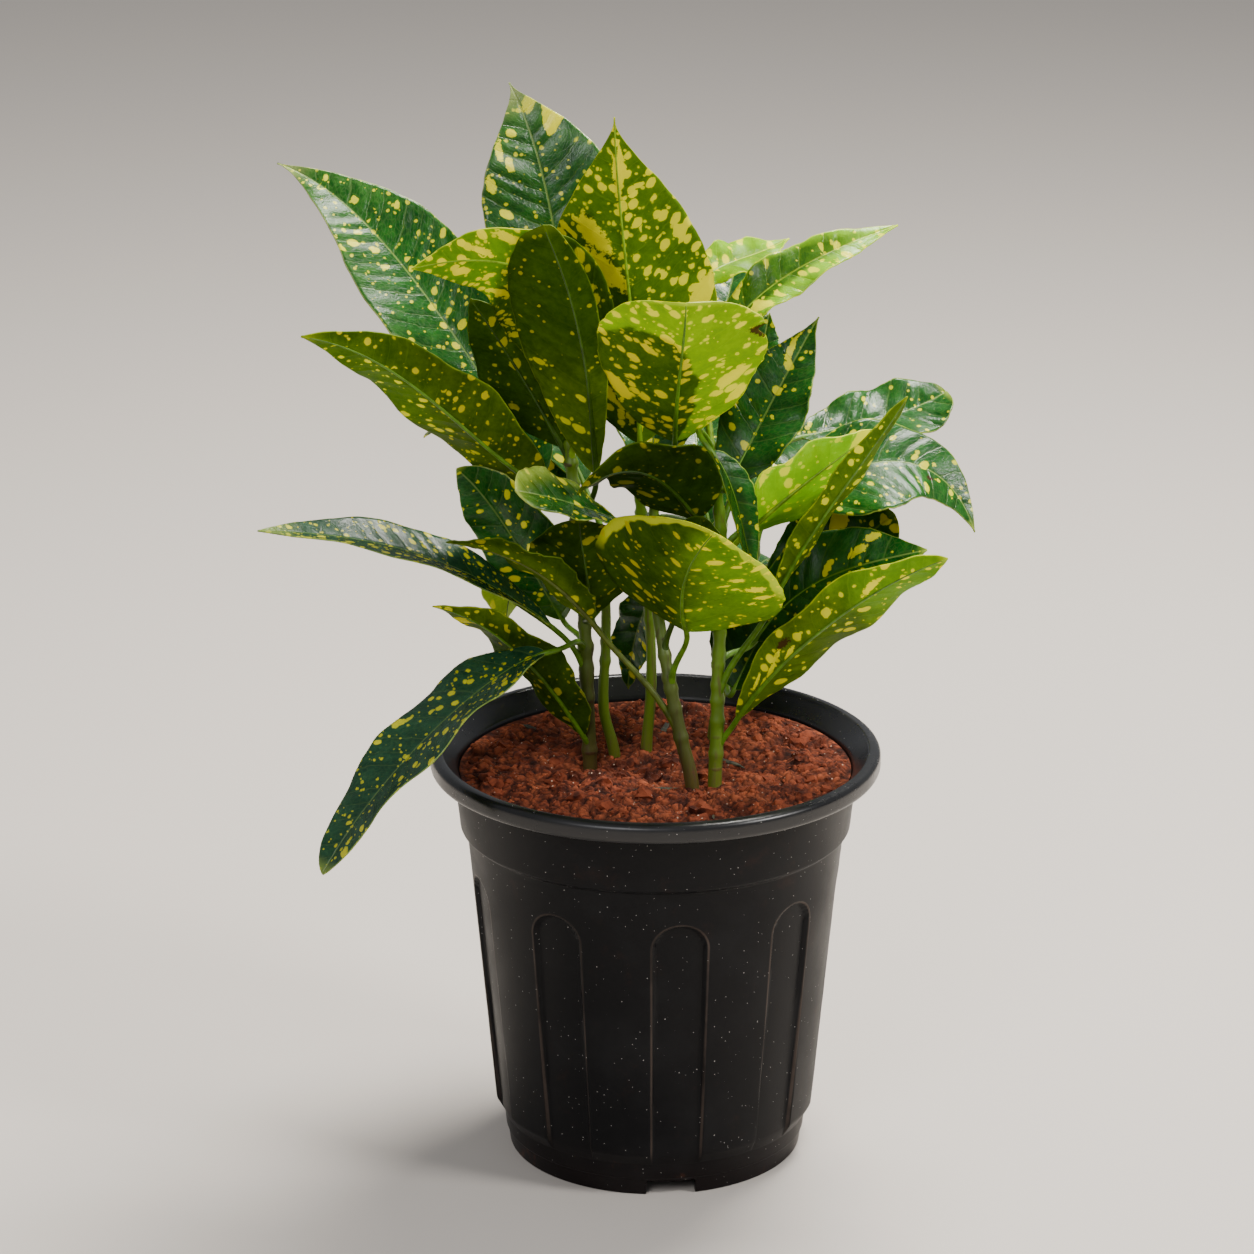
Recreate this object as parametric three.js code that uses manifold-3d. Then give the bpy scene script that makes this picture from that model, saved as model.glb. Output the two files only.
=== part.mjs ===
// A potted croton: a tapered nursery pot filled with soil, six stems and their spotted leaves.
// Millimetres, +Z up, the pot standing on z = 0, the front of the plant towards -Y.

import * as THREE from 'three';
import { mergeVertices } from 'three/addons/utils/BufferGeometryUtils.js';
import Module from 'manifold-3d';

const wasm = await Module();
wasm.setup();

// Driving dimensions

const POT_HEIGHT = 188;
const RIM_RADIUS = 100;
const RIM_DEPTH = 8.5;
const RIM_INNER_RADIUS = 93.6;
const RIM_ROUND = 1.5;
const COLLAR_BOTTOM = 152.5;
const COLLAR_RADIUS = 86.8;
const COLLAR_TOP_RADIUS = 89.8;
const COLLAR_WALL = 2;
const COLLAR_STEP = 2;
const BODY_TOP_RADIUS = 84;
const BODY_BOTTOM = 21.5;
const BODY_BOTTOM_RADIUS = 72;
const CHAMFER_BOTTOM = 15.5;
const CHAMFER_RADIUS = 68.2;
const FOOT_RADIUS = 65.7;
const FOOT_TOP_RADIUS = 67.3;
const FOOT_WALL = 4;
const FOOT_FILLET = 2;
const FLOOR_BOTTOM = 8;
const FLOOR_THICKNESS = 3;
const WALL = 3.6;
const POT_SIDES = 45;
const CUTTER_DEPTH = 20;

const FLUTES = 9;
const FLUTE_WIDTH = 24;
const FLUTE_TOP = 135;
const FLUTE_DEPTH = 2;
const FIRST_FLUTE_DEG = 7.4;

const NOTCHES = 3;
const NOTCH_WIDTH = 22;
const NOTCH_HEIGHT = 7;
const FIRST_NOTCH_DEG = 6;

const DRAIN_HOLES = 6;
const DRAIN_RADIUS = 4.5;
const DRAIN_CIRCLE = 42;

const GAP = 0.35;
const SOIL_TOP = 178;
const SOIL_RINGS = 11;
const SOIL_SIDES = 2 * POT_SIDES;
const SWELL_HEIGHT = 1.2;
const RIPPLE_HEIGHT = 0.8;
const CLOD_COUNT = 90;
const CLOD_SPACING = 8.9;
const CLOD_HEIGHT = 2.3;
const CLOD_SIZE = 5.6;
const GOLDEN_ANGLE = 2.39996;
const STEM_FOOT = 140;
const STEM_COLUMNS = 4;

const BLADE_HALF_THICKNESS = 0.42;
const TIP_HALF_WIDTH = 0.8;
const NECK_LENGTH = 0.11;
const RIGHT_WAVE_SHIFT = 1.9;
const PETIOLE_RADIUS = 1.5;
const PETIOLE_STEPS = 3;
const PETIOLE_BEND = 0.4;
const BLADE_STATIONS = [0, 0.07, 0.2, 0.35, 0.5, 0.65, 0.8, 0.92, 1];

// The pot's axis stands right and front of the middle, because the foliage reaches left and back.
const POT_AXIS = new THREE.Vector3(16, -14, 0);

const rad = THREE.MathUtils.degToRad;

const potPlastic = new THREE.MeshStandardMaterial({ color: 0x1b1c1f, roughness: 0.45, metalness: 0 });
const redSoil = new THREE.MeshStandardMaterial({ color: 0x6b2f20, roughness: 0.95, metalness: 0 });
const stemGreen = new THREE.MeshStandardMaterial({ color: 0x55762a, roughness: 0.55, metalness: 0 });
const stemBrown = new THREE.MeshStandardMaterial({ color: 0x5a4a2c, roughness: 0.7, metalness: 0 });
const leafDark = new THREE.MeshStandardMaterial({ color: 0x1f4f22, roughness: 0.35, metalness: 0 });
const leafOlive = new THREE.MeshStandardMaterial({ color: 0x4f7a1e, roughness: 0.45, metalness: 0 });
const leafGold = new THREE.MeshStandardMaterial({ color: 0xa6b81e, roughness: 0.4, metalness: 0 });

// Stems: points on the centre line from the soil up, measured from the pot's axis.

const STEMS = {
  left: {
    foot: 3.4,
    top: 2.4,
    material: stemBrown,
    path: [[-29, 0, 178], [-30, 0, 205], [-31, 1, 240], [-33, 2, 274], [-36, 3, 306], [-38, 5, 330]],
  },
  left_green: {
    foot: 2.8,
    top: 1.9,
    material: stemGreen,
    path: [[-18, 13, 178], [-23, 13, 201], [-22, 14, 230], [-22, 15, 256], [-23, 16, 282]],
  },
  middle_back: {
    foot: 2.8,
    top: 2,
    material: stemGreen,
    path: [[-4, 19, 178], [-2, 19, 205], [-2, 19, 230], [-5, 18, 269], [-8, 16, 314]],
  },
  middle_front: {
    foot: 3.2,
    top: 2.2,
    material: stemBrown,
    path: [[16, -23, 178], [11, -22, 200], [6, -20, 225], [3, -15, 241], [0, -8, 262], [-1, 0, 293], [2, 3, 322]],
  },
  right: {
    foot: 3.3,
    top: 2.2,
    material: stemGreen,
    path: [[26, -22, 178], [27, -20, 205], [27, -18, 223], [28, -15, 249], [29, -8, 277], [26, 0, 311], [23, 3, 330]],
  },
  right_back: {
    foot: 2.8,
    top: 1.9,
    material: stemGreen,
    path: [[26, 35, 178], [30, 34, 202], [37, 32, 227], [42, 30, 251], [45, 28, 274]],
  },
};

// Leaves: each hangs on a stem at a height, and its midrib runs through four evenly spaced points.
// face is the way that the glossy upper side looks, width is the blade's widest, neck draws the tip
// out, lean widens one side at the cost of the other, and a value is left out where it is as usual.

const LEAF_DEFAULTS = {
  baseFullness: 0.75,
  tipTaper: 0.95,
  neck: 0,
  lean: 0,
  fold: 12,
  wave: 2,
  waves: 3,
  phase: 0,
  across: 4,
  material: leafOlive,
};

const LEAVES = {
  left_high: {
    stem: 'left', at: 300, rib: [[-48, 12, 311], [-86, 25, 366], [-124, 42, 412], [-166, 60, 438]],
    face: [0.45, -0.75, 0.45], width: 62, tipTaper: 1.2, neck: 0.6, wave: 2.5, material: leafDark,
  },
  left_middle: {
    stem: 'left', at: 292, rib: [[-47, 2, 306], [-79, -12, 335], [-111, -28, 367], [-150, -45, 388]],
    face: [0.3, 0.8, 0.3], width: 44, fold: 14,
  },
  back_top: {
    stem: 'left', at: 326, rib: [[-33, 30, 357], [-42, 40, 399], [-50, 50, 437], [-64, 60, 474]],
    face: [0.1, -0.9, 0.35], width: 62, baseFullness: 1.1, neck: 0.9, material: leafDark,
  },
  top_gold: {
    stem: 'middle_back', at: 306, rib: [[-7, 8, 325], [-10, 6, 377], [-15, 8, 425], [-18, 14, 469]],
    face: [0.05, 0.95, 0.1], width: 75, baseFullness: 0.8, tipTaper: 1.1, neck: 1, fold: 8, material: leafGold,
  },
  front_dark: {
    stem: 'left', at: 284, rib: [[-26, -8, 316], [-29, -20, 357], [-35, -31, 395], [-48, -36, 434]],
    face: [0.2, 0.9, 0.2], width: 40, baseFullness: 0.7, tipTaper: 0.4, lean: 0.5, wave: 1,
  },
  left_arch: {
    stem: 'left', at: 318, rib: [[-32, -6, 339], [-41, -13, 396], [-71, -18, 414], [-104, -24, 412]],
    face: [-0.2, 0.8, 0.5], width: 54, tipTaper: 1.1, lean: 0.2, material: leafGold,
  },
  left_shade: {
    stem: 'left', at: 308, rib: [[-41, 4, 325], [-54, 2, 350], [-67, 2, 372], [-80, 2, 392]],
    face: [0.2, 0.8, 0.2], width: 42,
  },
  front_broad: {
    stem: 'middle_front', at: 312, rib: [[8, -18, 334], [9, -36, 361], [11, -50, 386], [12, -58, 406]],
    face: [0, 0.8, 0.5], width: 73, baseFullness: 0.62, tipTaper: 0.35, fold: 10, material: leafGold,
  },
  back_pale: {
    stem: 'middle_back', at: 300, rib: [[16, 30, 390], [30, 40, 397], [43, 51, 399], [59, 64, 403]],
    face: [-0.2, -0.6, 0.7], width: 24, neck: 0.4, across: 2, material: leafGold,
  },
  right_high: {
    stem: 'right', at: 326, rib: [[27, 18, 366], [46, 24, 388], [72, 32, 403], [106, 48, 413]],
    face: [-0.2, -0.6, 0.7], width: 25,
  },
  back_slim: {
    stem: 'right', at: 318, rib: [[42, 24, 331], [45, 28, 348], [47, 32, 362], [50, 38, 376]],
    face: [0, -0.9, 0.4], width: 20, across: 2, material: leafDark,
  },
  right_dark: {
    stem: 'right', at: 306, rib: [[31, -8, 310], [44, 2, 333], [56, 11, 354], [71, 24, 378]],
    face: [-0.3, -0.8, 0.4], width: 38, neck: 0.7, material: leafDark,
  },
  right_gloss: {
    stem: 'right', at: 290, rib: [[64, 35, 320], [84, 44, 322], [108, 52, 326], [130, 60, 334]],
    face: [0, -0.45, 0.9], width: 40, tipTaper: 0.5, lean: 0.12, wave: 2, material: leafDark,
  },
  right_hanging: {
    stem: 'right', at: 280, rib: [[63, 3, 301], [89, 10, 314], [118, 14, 312], [140, 7, 285]],
    face: [0.2, -0.5, 0.85], width: 54, tipTaper: 1.2, lean: 0.2, wave: 1.2, material: leafDark,
  },
  right_bright: {
    stem: 'right', at: 268, rib: [[39, -25, 295], [57, -26, 312], [76, -25, 327], [95, -21, 340]],
    face: [0, 0.6, 0.7], width: 48, lean: -0.2, material: leafGold,
  },
  right_edge: {
    stem: 'right', at: 216, rib: [[51, -28, 265], [66, -36, 297], [87, -41, 331], [106, -46, 362]],
    face: [-0.6, 0.7, 0.4], width: 20, tipTaper: 0.8, wave: 1,
  },
  right_low: {
    stem: 'right', at: 192, rib: [[35, -24, 208], [58, -38, 243], [90, -48, 273], [124, -55, 293]],
    face: [-0.1, 0.7, 0.6], width: 39, baseFullness: 1, tipTaper: 0.8, lean: -0.15,
  },
  right_under: {
    stem: 'right', at: 232, rib: [[44, -5, 239], [65, -8, 263], [89, -10, 275], [118, -12, 283]],
    face: [-0.1, -0.6, 0.7], width: 44, material: leafDark,
  },
  centre_fold: {
    stem: 'middle_front', at: 222, rib: [[13, -40, 255], [11, -57, 275], [14, -73, 295], [24, -88, 315]],
    face: [0.32, 0.6, 0.75], width: 86, baseFullness: 0.6, tipTaper: 0.8, wave: 1, material: leafGold,
  },
  centre_low: {
    stem: 'middle_front', at: 236, rib: [[8, -23, 256], [12, -25, 273], [16, -26, 289], [20, -27, 303]],
    face: [0, 0.9, 0.2], width: 34, tipTaper: 0.8, wave: 1, material: leafDark,
  },
  centre_light: {
    stem: 'middle_front', at: 280, rib: [[-17, -20, 299], [-31, -34, 309], [-45, -46, 317], [-60, -55, 323]],
    face: [0, -0.45, 0.9], width: 34, tipTaper: 0.45, wave: 1, material: leafDark,
  },
  centre_dark: {
    stem: 'middle_front', at: 292, rib: [[18, -10, 296], [5, -22, 315], [-12, -32, 325], [-34, -44, 318]],
    face: [0, 0.6, 0.7], width: 54, material: leafDark,
  },
  centre_hanging: {
    stem: 'right', at: 322, rib: [[23, -38, 336], [32, -42, 320], [37, -43, 301], [42, -43, 281]],
    face: [0.8, -0.5, 0.3], width: 22, wave: 0, fold: 20, across: 2, material: leafDark,
  },
  left_long: {
    stem: 'left', at: 220, rib: [[-45, -6, 245], [-87, -14, 275], [-129, -20, 290], [-172, -26, 296]],
    face: [0, -0.12, 1], width: 38, wave: 0.8, material: leafDark,
  },
  left_toothed: {
    stem: 'middle_front', at: 200, rib: [[-28, -24, 254], [-45, -32, 275], [-66, -38, 289], [-90, -42, 296]],
    face: [0, 0.4, 0.9], width: 34, tipTaper: 0.75, wave: 1.5,
  },
  left_low: {
    stem: 'left', at: 186, rib: [[-32, -4, 194], [-49, -12, 223], [-71, -18, 247], [-97, -24, 261]],
    face: [0.2, 0.6, 0.7], width: 34,
  },
  left_drooping: {
    stem: 'left', at: 232, rib: [[-48, -28, 241], [-76, -36, 227], [-112, -52, 196], [-144, -72, 155]],
    face: [-0.4, -0.25, 0.85], width: 42, tipTaper: 0.65, material: leafDark,
  },
  left_inner: {
    stem: 'left', at: 234, rib: [[-41, 14, 242], [-56, 10, 270], [-71, 6, 296], [-87, 4, 315]],
    face: [-0.5, -0.7, 0.4], width: 42, tipTaper: 0.8, lean: 0.3, fold: 20, material: leafDark,
  },
  left_rear: {
    stem: 'left_green', at: 262, rib: [[-42, 34, 275], [-56, 42, 265], [-64, 46, 249], [-67, 44, 232]],
    face: [-0.5, 0.5, 0.6], width: 32, tipTaper: 0.5, across: 2, material: leafGold,
  },
  centre_shade: {
    stem: 'left', at: 244, rib: [[-29, -10, 252], [-30, -20, 272], [-32, -26, 288], [-33, -30, 302]],
    face: [0, 0.75, 0.6], width: 50, tipTaper: 0.7,
  },
  right_rear: {
    stem: 'right', at: 246, rib: [[48, 10, 253], [68, 12, 265], [86, 14, 276], [105, 16, 291]],
    face: [-0.2, -0.8, 0.5], width: 50, tipTaper: 0.6, material: leafDark,
  },
  right_inner: {
    stem: 'right_back', at: 204, rib: [[35, 12, 210], [41, 16, 222], [48, 18, 235], [57, 20, 250]],
    face: [-0.4, -0.8, 0.3], width: 40, across: 2, material: leafDark,
  },
  rear_hanging: {
    stem: 'middle_back', at: 250, rib: [[0, 30, 253], [-6, 40, 234], [-10, 46, 217], [-12, 50, 197]],
    face: [-0.4, -0.6, 0.3], width: 24, across: 2, material: leafDark,
  },
  rear_high_left: {
    stem: 'left_green', at: 278, rib: [[-32, 32, 300], [-46, 55, 330], [-60, 80, 358], [-72, 106, 376]],
    face: [0.3, -0.7, 0.6], width: 46, across: 2, material: leafDark,
  },
  rear_middle: {
    stem: 'middle_back', at: 290, rib: [[-2, 32, 304], [0, 62, 330], [0, 94, 348], [-2, 128, 352]],
    face: [0, -0.6, 0.8], width: 48, across: 2, material: leafDark,
  },
  rear_right: {
    stem: 'right_back', at: 268, rib: [[48, 36, 280], [60, 56, 296], [71, 77, 305], [81, 98, 308]],
    face: [-0.4, -0.5, 0.8], width: 40, across: 2, material: leafDark,
  },
  rear_droop_left: {
    stem: 'left_green', at: 232, rib: [[-28, 32, 236], [-36, 62, 248], [-44, 94, 242], [-50, 122, 216]],
    face: [-0.2, 0.2, 0.9], width: 42, across: 2, material: leafDark,
  },
  rear_droop_right: {
    stem: 'right_back', at: 236, rib: [[40, 46, 244], [50, 74, 250], [59, 101, 237], [67, 126, 208]],
    face: [0.2, 0.2, 0.9], width: 42, across: 2, material: leafDark,
  },
  rear_low: {
    stem: 'right_back', at: 222, rib: [[20, 46, 246], [14, 72, 264], [11, 99, 262], [12, 126, 240]],
    face: [0, 0.2, 0.95], width: 40, across: 2, material: leafDark,
  },
  rear_crown: {
    stem: 'right', at: 322, rib: [[20, 22, 334], [27, 48, 358], [33, 73, 376], [38, 97, 388]],
    face: [-0.2, -0.6, 0.7], width: 42, across: 2, material: leafDark,
  },
  rear_left: {
    stem: 'left_green', at: 270, rib: [[-38, 24, 290], [-60, 40, 310], [-83, 58, 318], [-104, 76, 308]],
    face: [0.2, -0.3, 0.9], width: 40, across: 2, material: leafDark,
  },
  rear_centre: {
    stem: 'right_back', at: 256, rib: [[24, 44, 276], [20, 68, 298], [18, 94, 310], [18, 120, 308]],
    face: [0, -0.4, 0.9], width: 40, across: 2, material: leafDark,
  },
};

// Solids and meshes

function toSolid(geometry) {
  const bare = geometry.clone();
  bare.deleteAttribute('normal');
  bare.deleteAttribute('uv');
  const merged = mergeVertices(bare, 1e-4);
  return new wasm.Manifold(new wasm.Mesh({
    numProp: 3,
    vertProperties: new Float32Array(merged.attributes.position.array),
    triVerts: new Uint32Array(merged.index.array),
  }));
}

function toMesh(name, solid, material) {
  const data = solid.getMesh();
  const geometry = new THREE.BufferGeometry();
  geometry.setAttribute('position', new THREE.BufferAttribute(data.vertProperties, 3));
  geometry.setIndex(new THREE.BufferAttribute(data.triVerts, 1));
  geometry.computeVertexNormals();
  const mesh = new THREE.Mesh(geometry, material);
  mesh.name = name;
  return mesh;
}

// A closed skin over rings of points: each ring has an upper row and a lower row, left to right.
function skin(rings) {
  const columns = rings[0].length / 2;
  const positions = rings.flat().flatMap((point) => [point.x, point.y, point.z]);
  const faces = [];
  const upper = (i, j) => i * 2 * columns + j;
  const lower = (i, j) => upper(i, j) + columns;
  for (let i = 0; i < rings.length - 1; i += 1) {
    for (let j = 0; j < columns - 1; j += 1) {
      faces.push(upper(i, j), upper(i, j + 1), upper(i + 1, j));
      faces.push(upper(i, j + 1), upper(i + 1, j + 1), upper(i + 1, j));
      faces.push(lower(i, j), lower(i + 1, j), lower(i, j + 1));
      faces.push(lower(i, j + 1), lower(i + 1, j), lower(i + 1, j + 1));
    }
    const last = columns - 1;
    faces.push(lower(i, 0), upper(i, 0), lower(i + 1, 0));
    faces.push(upper(i, 0), upper(i + 1, 0), lower(i + 1, 0));
    faces.push(lower(i, last), lower(i + 1, last), upper(i, last));
    faces.push(upper(i, last), lower(i + 1, last), upper(i + 1, last));
  }
  const end = rings.length - 1;
  for (let j = 0; j < columns - 1; j += 1) {
    faces.push(lower(0, j), lower(0, j + 1), upper(0, j));
    faces.push(upper(0, j), lower(0, j + 1), upper(0, j + 1));
    faces.push(lower(end, j), upper(end, j), lower(end, j + 1));
    faces.push(upper(end, j), upper(end, j + 1), lower(end, j + 1));
  }
  const geometry = new THREE.BufferGeometry();
  geometry.setAttribute('position', new THREE.Float32BufferAttribute(positions, 3));
  geometry.setIndex(faces);
  return geometry;
}

// Pot

const LIP_BOTTOM = POT_HEIGHT - RIM_DEPTH;
const INNER_STEP = COLLAR_BOTTOM - 2 * COLLAR_STEP;
const FLOOR_TOP = FLOOR_BOTTOM + FLOOR_THICKNESS;

function lathe(profile) {
  const points = profile.map(([radius, z]) => new THREE.Vector2(radius, z));
  const geometry = new THREE.LatheGeometry(points, POT_SIDES);
  geometry.rotateX(Math.PI / 2);
  return toSolid(geometry);
}

// The body's outer radius at a height, on its straight taper
function bodyRadius(z) {
  const share = (z - BODY_BOTTOM) / (COLLAR_BOTTOM - BODY_BOTTOM);
  return THREE.MathUtils.lerp(BODY_BOTTOM_RADIUS, BODY_TOP_RADIUS, share);
}

// The inside follows the body's taper, then opens out behind the collar.
function innerRadius(z) {
  if (z < INNER_STEP) {
    return bodyRadius(z) - WALL;
  }
  const share = (z - INNER_STEP) / (LIP_BOTTOM - INNER_STEP);
  return THREE.MathUtils.lerp(bodyRadius(INNER_STEP) - WALL, COLLAR_TOP_RADIUS - COLLAR_WALL, share);
}

function fluteCutter(angle) {
  const outline = new THREE.Shape();
  const half = FLUTE_WIDTH / 2;
  outline.moveTo(-half, 0);
  outline.lineTo(half, 0);
  outline.lineTo(half, FLUTE_TOP - half);
  outline.absarc(0, FLUTE_TOP - half, half, 0, Math.PI, false);
  outline.lineTo(-half, 0);
  const geometry = new THREE.ExtrudeGeometry(outline, {
    depth: CUTTER_DEPTH,
    bevelEnabled: false,
    curveSegments: 8,
  });
  geometry.rotateX(Math.PI / 2);
  const lean = Math.atan2(BODY_TOP_RADIUS - BODY_BOTTOM_RADIUS, COLLAR_BOTTOM - BODY_BOTTOM);
  geometry.rotateX(lean);
  geometry.translate(0, -(bodyRadius(0) - FLUTE_DEPTH), 0);
  geometry.rotateZ(angle);
  return toSolid(geometry);
}

function notchCutter(angle) {
  const geometry = new THREE.BoxGeometry(NOTCH_WIDTH, CUTTER_DEPTH, NOTCH_HEIGHT * 2);
  geometry.translate(0, -FOOT_RADIUS, 0);
  geometry.rotateZ(angle);
  return toSolid(geometry);
}

function drainCutter(angle) {
  const geometry = new THREE.CylinderGeometry(DRAIN_RADIUS, DRAIN_RADIUS, CUTTER_DEPTH, 12);
  geometry.rotateX(Math.PI / 2);
  geometry.translate(0, -DRAIN_CIRCLE, FLOOR_BOTTOM);
  geometry.rotateZ(angle);
  return toSolid(geometry);
}

function makePot() {
  let pot = lathe([
    [0, FLOOR_BOTTOM],
    [FOOT_RADIUS - FOOT_WALL - FOOT_FILLET, FLOOR_BOTTOM],
    [FOOT_RADIUS - FOOT_WALL, 0],
    [FOOT_RADIUS, 0],
    [FOOT_TOP_RADIUS, FLOOR_BOTTOM],
    [CHAMFER_RADIUS, CHAMFER_BOTTOM],
    [BODY_BOTTOM_RADIUS, BODY_BOTTOM],
    [BODY_TOP_RADIUS, COLLAR_BOTTOM - COLLAR_STEP],
    [COLLAR_RADIUS, COLLAR_BOTTOM],
    [COLLAR_TOP_RADIUS, LIP_BOTTOM],
    [RIM_RADIUS - RIM_ROUND, LIP_BOTTOM],
    [RIM_RADIUS, LIP_BOTTOM + RIM_ROUND],
    [RIM_RADIUS, POT_HEIGHT - RIM_ROUND],
    [RIM_RADIUS - RIM_ROUND, POT_HEIGHT],
    [RIM_INNER_RADIUS + RIM_ROUND, POT_HEIGHT],
    [RIM_INNER_RADIUS, POT_HEIGHT - RIM_ROUND],
    [innerRadius(LIP_BOTTOM), LIP_BOTTOM],
    [innerRadius(INNER_STEP), INNER_STEP],
    [innerRadius(BODY_BOTTOM), BODY_BOTTOM],
    [FOOT_RADIUS, FLOOR_TOP],
    [0, FLOOR_TOP],
  ]);
  for (let i = 0; i < FLUTES; i += 1) {
    pot = pot.subtract(fluteCutter(rad(FIRST_FLUTE_DEG + (i * 360) / FLUTES)));
  }
  for (let i = 0; i < NOTCHES; i += 1) {
    pot = pot.subtract(notchCutter(rad(FIRST_NOTCH_DEG + (i * 360) / NOTCHES)));
  }
  for (let i = 0; i < DRAIN_HOLES; i += 1) {
    pot = pot.subtract(drainCutter(rad((i * 360) / DRAIN_HOLES)));
  }
  return pot;
}

// Stems

function stemCurve(stem) {
  const points = stem.path.map((point) => new THREE.Vector3(...point));
  const foot = points[0].clone().setZ(STEM_FOOT);
  return new THREE.CatmullRomCurve3([foot, ...points]);
}

// One ring of a round bar: an upper and a lower row of corners, left to right.
function roundRing(centre, sideways, upwards, radius, columns) {
  const edge = 90 / columns;
  const ring = [];
  for (const row of [1, -1]) {
    for (let k = 0; k < columns; k += 1) {
      const corner = rad(THREE.MathUtils.lerp(180 - edge, edge, k / (columns - 1)));
      ring.push(centre.clone()
        .addScaledVector(sideways, radius * Math.cos(corner))
        .addScaledVector(upwards, radius * row * Math.sin(corner)));
    }
  }
  return ring;
}

function stemSolid(stem, extra) {
  const curve = stemCurve(stem);
  const steps = stem.path.length * 2;
  const rings = [];
  for (let i = 0; i <= steps; i += 1) {
    const share = i / steps;
    const centre = curve.getPoint(share);
    const along = curve.getTangent(share);
    if (i === 0) {
      centre.addScaledVector(along, -extra);
    }
    const upwards = new THREE.Vector3(0, 1, 0).addScaledVector(along, -along.y).normalize();
    const sideways = along.clone().cross(upwards);
    const radius = THREE.MathUtils.lerp(stem.foot, stem.top, share) + extra;
    rings.push(roundRing(centre, sideways, upwards, radius, STEM_COLUMNS));
  }
  return toSolid(skin(rings));
}

// The stem's centre line at a height
function stemPoint(stem, height) {
  const curve = stemCurve(stem);
  let low = 0;
  let high = 1;
  for (let i = 0; i < 30; i += 1) {
    const middle = (low + high) / 2;
    if (curve.getPoint(middle).z < height) {
      low = middle;
    } else {
      high = middle;
    }
  }
  return { point: curve.getPoint(low), along: curve.getTangent(low) };
}

// Leaves

// The smooth cubic through four evenly spaced points
function ribPoint(rib, t) {
  const weights = [
    -4.5 * (t - 1 / 3) * (t - 2 / 3) * (t - 1),
    13.5 * t * (t - 2 / 3) * (t - 1),
    -13.5 * t * (t - 1 / 3) * (t - 1),
    4.5 * t * (t - 1 / 3) * (t - 2 / 3),
  ];
  const point = new THREE.Vector3();
  weights.forEach((weight, i) => point.addScaledVector(rib[i], weight));
  return point;
}

function ribDirection(rib, t) {
  const step = 0.001;
  return ribPoint(rib, t + step).sub(ribPoint(rib, t - step)).normalize();
}

// The blade's half width along its length, 1 at its widest
function fullness(t, { baseFullness, tipTaper, neck }) {
  const shape = (x) => x ** baseFullness * (1 - x) ** tipTaper;
  const widest = shape(baseFullness / (baseFullness + tipTaper));
  return (shape(t) / widest) * (1 - neck * Math.exp((t - 1) / NECK_LENGTH));
}

function bladeRing(leaf, rib, t) {
  const centre = ribPoint(rib, t);
  const along = ribDirection(rib, t);
  const face = new THREE.Vector3(...leaf.face);
  const upwards = face.addScaledVector(along, -face.dot(along)).normalize();
  const sideways = along.clone().cross(upwards);
  if (t === 0) {
    return roundRing(centre, sideways, upwards, PETIOLE_RADIUS, leaf.across + 1);
  }
  const share = Math.min(1, fullness(t, leaf));
  const half = Math.max((share * leaf.width) / 2, TIP_HALF_WIDTH);
  const fold = rad(leaf.fold);
  const ring = [];
  for (const row of [1, -1]) {
    for (let k = 0; k <= leaf.across; k += 1) {
      const s = (2 * k) / leaf.across - 1;
      const turn = 2 * Math.PI * leaf.waves * t + leaf.phase + (s < 0 ? 0 : RIGHT_WAVE_SHIFT);
      const reach = half * s * (1 + leaf.lean * Math.sign(s));
      const lift = Math.abs(reach) * Math.sin(fold) + leaf.wave * share * s * s * Math.sin(turn);
      ring.push(centre.clone()
        .addScaledVector(sideways, reach * Math.cos(fold))
        .addScaledVector(upwards, lift + row * BLADE_HALF_THICKNESS));
    }
  }
  return ring;
}

// The stalk leaves the stem on a slope and runs into the blade's midrib.
function petioleCurve(leaf, rib) {
  const seat = stemPoint(STEMS[leaf.stem], leaf.at);
  const reach = rib[0].distanceTo(seat.point) * PETIOLE_BEND;
  const outward = rib[0].clone().sub(seat.point).normalize().add(seat.along).normalize();
  return new THREE.CubicBezierCurve3(
    seat.point,
    seat.point.clone().addScaledVector(outward, reach),
    rib[0].clone().addScaledVector(ribDirection(rib, 0), -reach),
    rib[0],
  );
}

function leafSolid(values) {
  const leaf = { ...LEAF_DEFAULTS, ...values };
  const rib = leaf.rib.map((point) => new THREE.Vector3(...point));
  const stalk = petioleCurve(leaf, rib);
  const rings = [];
  for (let i = 0; i < PETIOLE_STEPS; i += 1) {
    const along = stalk.getTangent(i / PETIOLE_STEPS);
    const face = new THREE.Vector3(...leaf.face);
    const upwards = face.addScaledVector(along, -face.dot(along)).normalize();
    const sideways = along.clone().cross(upwards);
    const centre = stalk.getPoint(i / PETIOLE_STEPS);
    rings.push(roundRing(centre, sideways, upwards, PETIOLE_RADIUS, leaf.across + 1));
  }
  for (const t of BLADE_STATIONS) {
    rings.push(bladeRing(leaf, rib, t));
  }
  return toSolid(skin(rings));
}

// Soil

// Clods lie where a fixed rule puts them: a sunflower spiral with heights that never repeat.
function soilHeight(x, y) {
  const swell = SWELL_HEIGHT * Math.sin(x * 0.09 + 0.7) * Math.cos(y * 0.08);
  const ripple = RIPPLE_HEIGHT * Math.sin(y * 0.17 + x * 0.11);
  let height = SOIL_TOP + swell + ripple;
  for (let i = 0; i < CLOD_COUNT; i += 1) {
    const angle = i * GOLDEN_ANGLE;
    const radius = CLOD_SPACING * Math.sqrt(i + 0.5);
    const distance = Math.hypot(x - radius * Math.cos(angle), y - radius * Math.sin(angle));
    const size = CLOD_SIZE * (1 + 0.35 * Math.sin(i * 1.7));
    height += CLOD_HEIGHT * (1 + 0.7 * Math.sin(i * 2.3)) * Math.exp(-((distance / size) ** 2));
  }
  return height;
}

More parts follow.
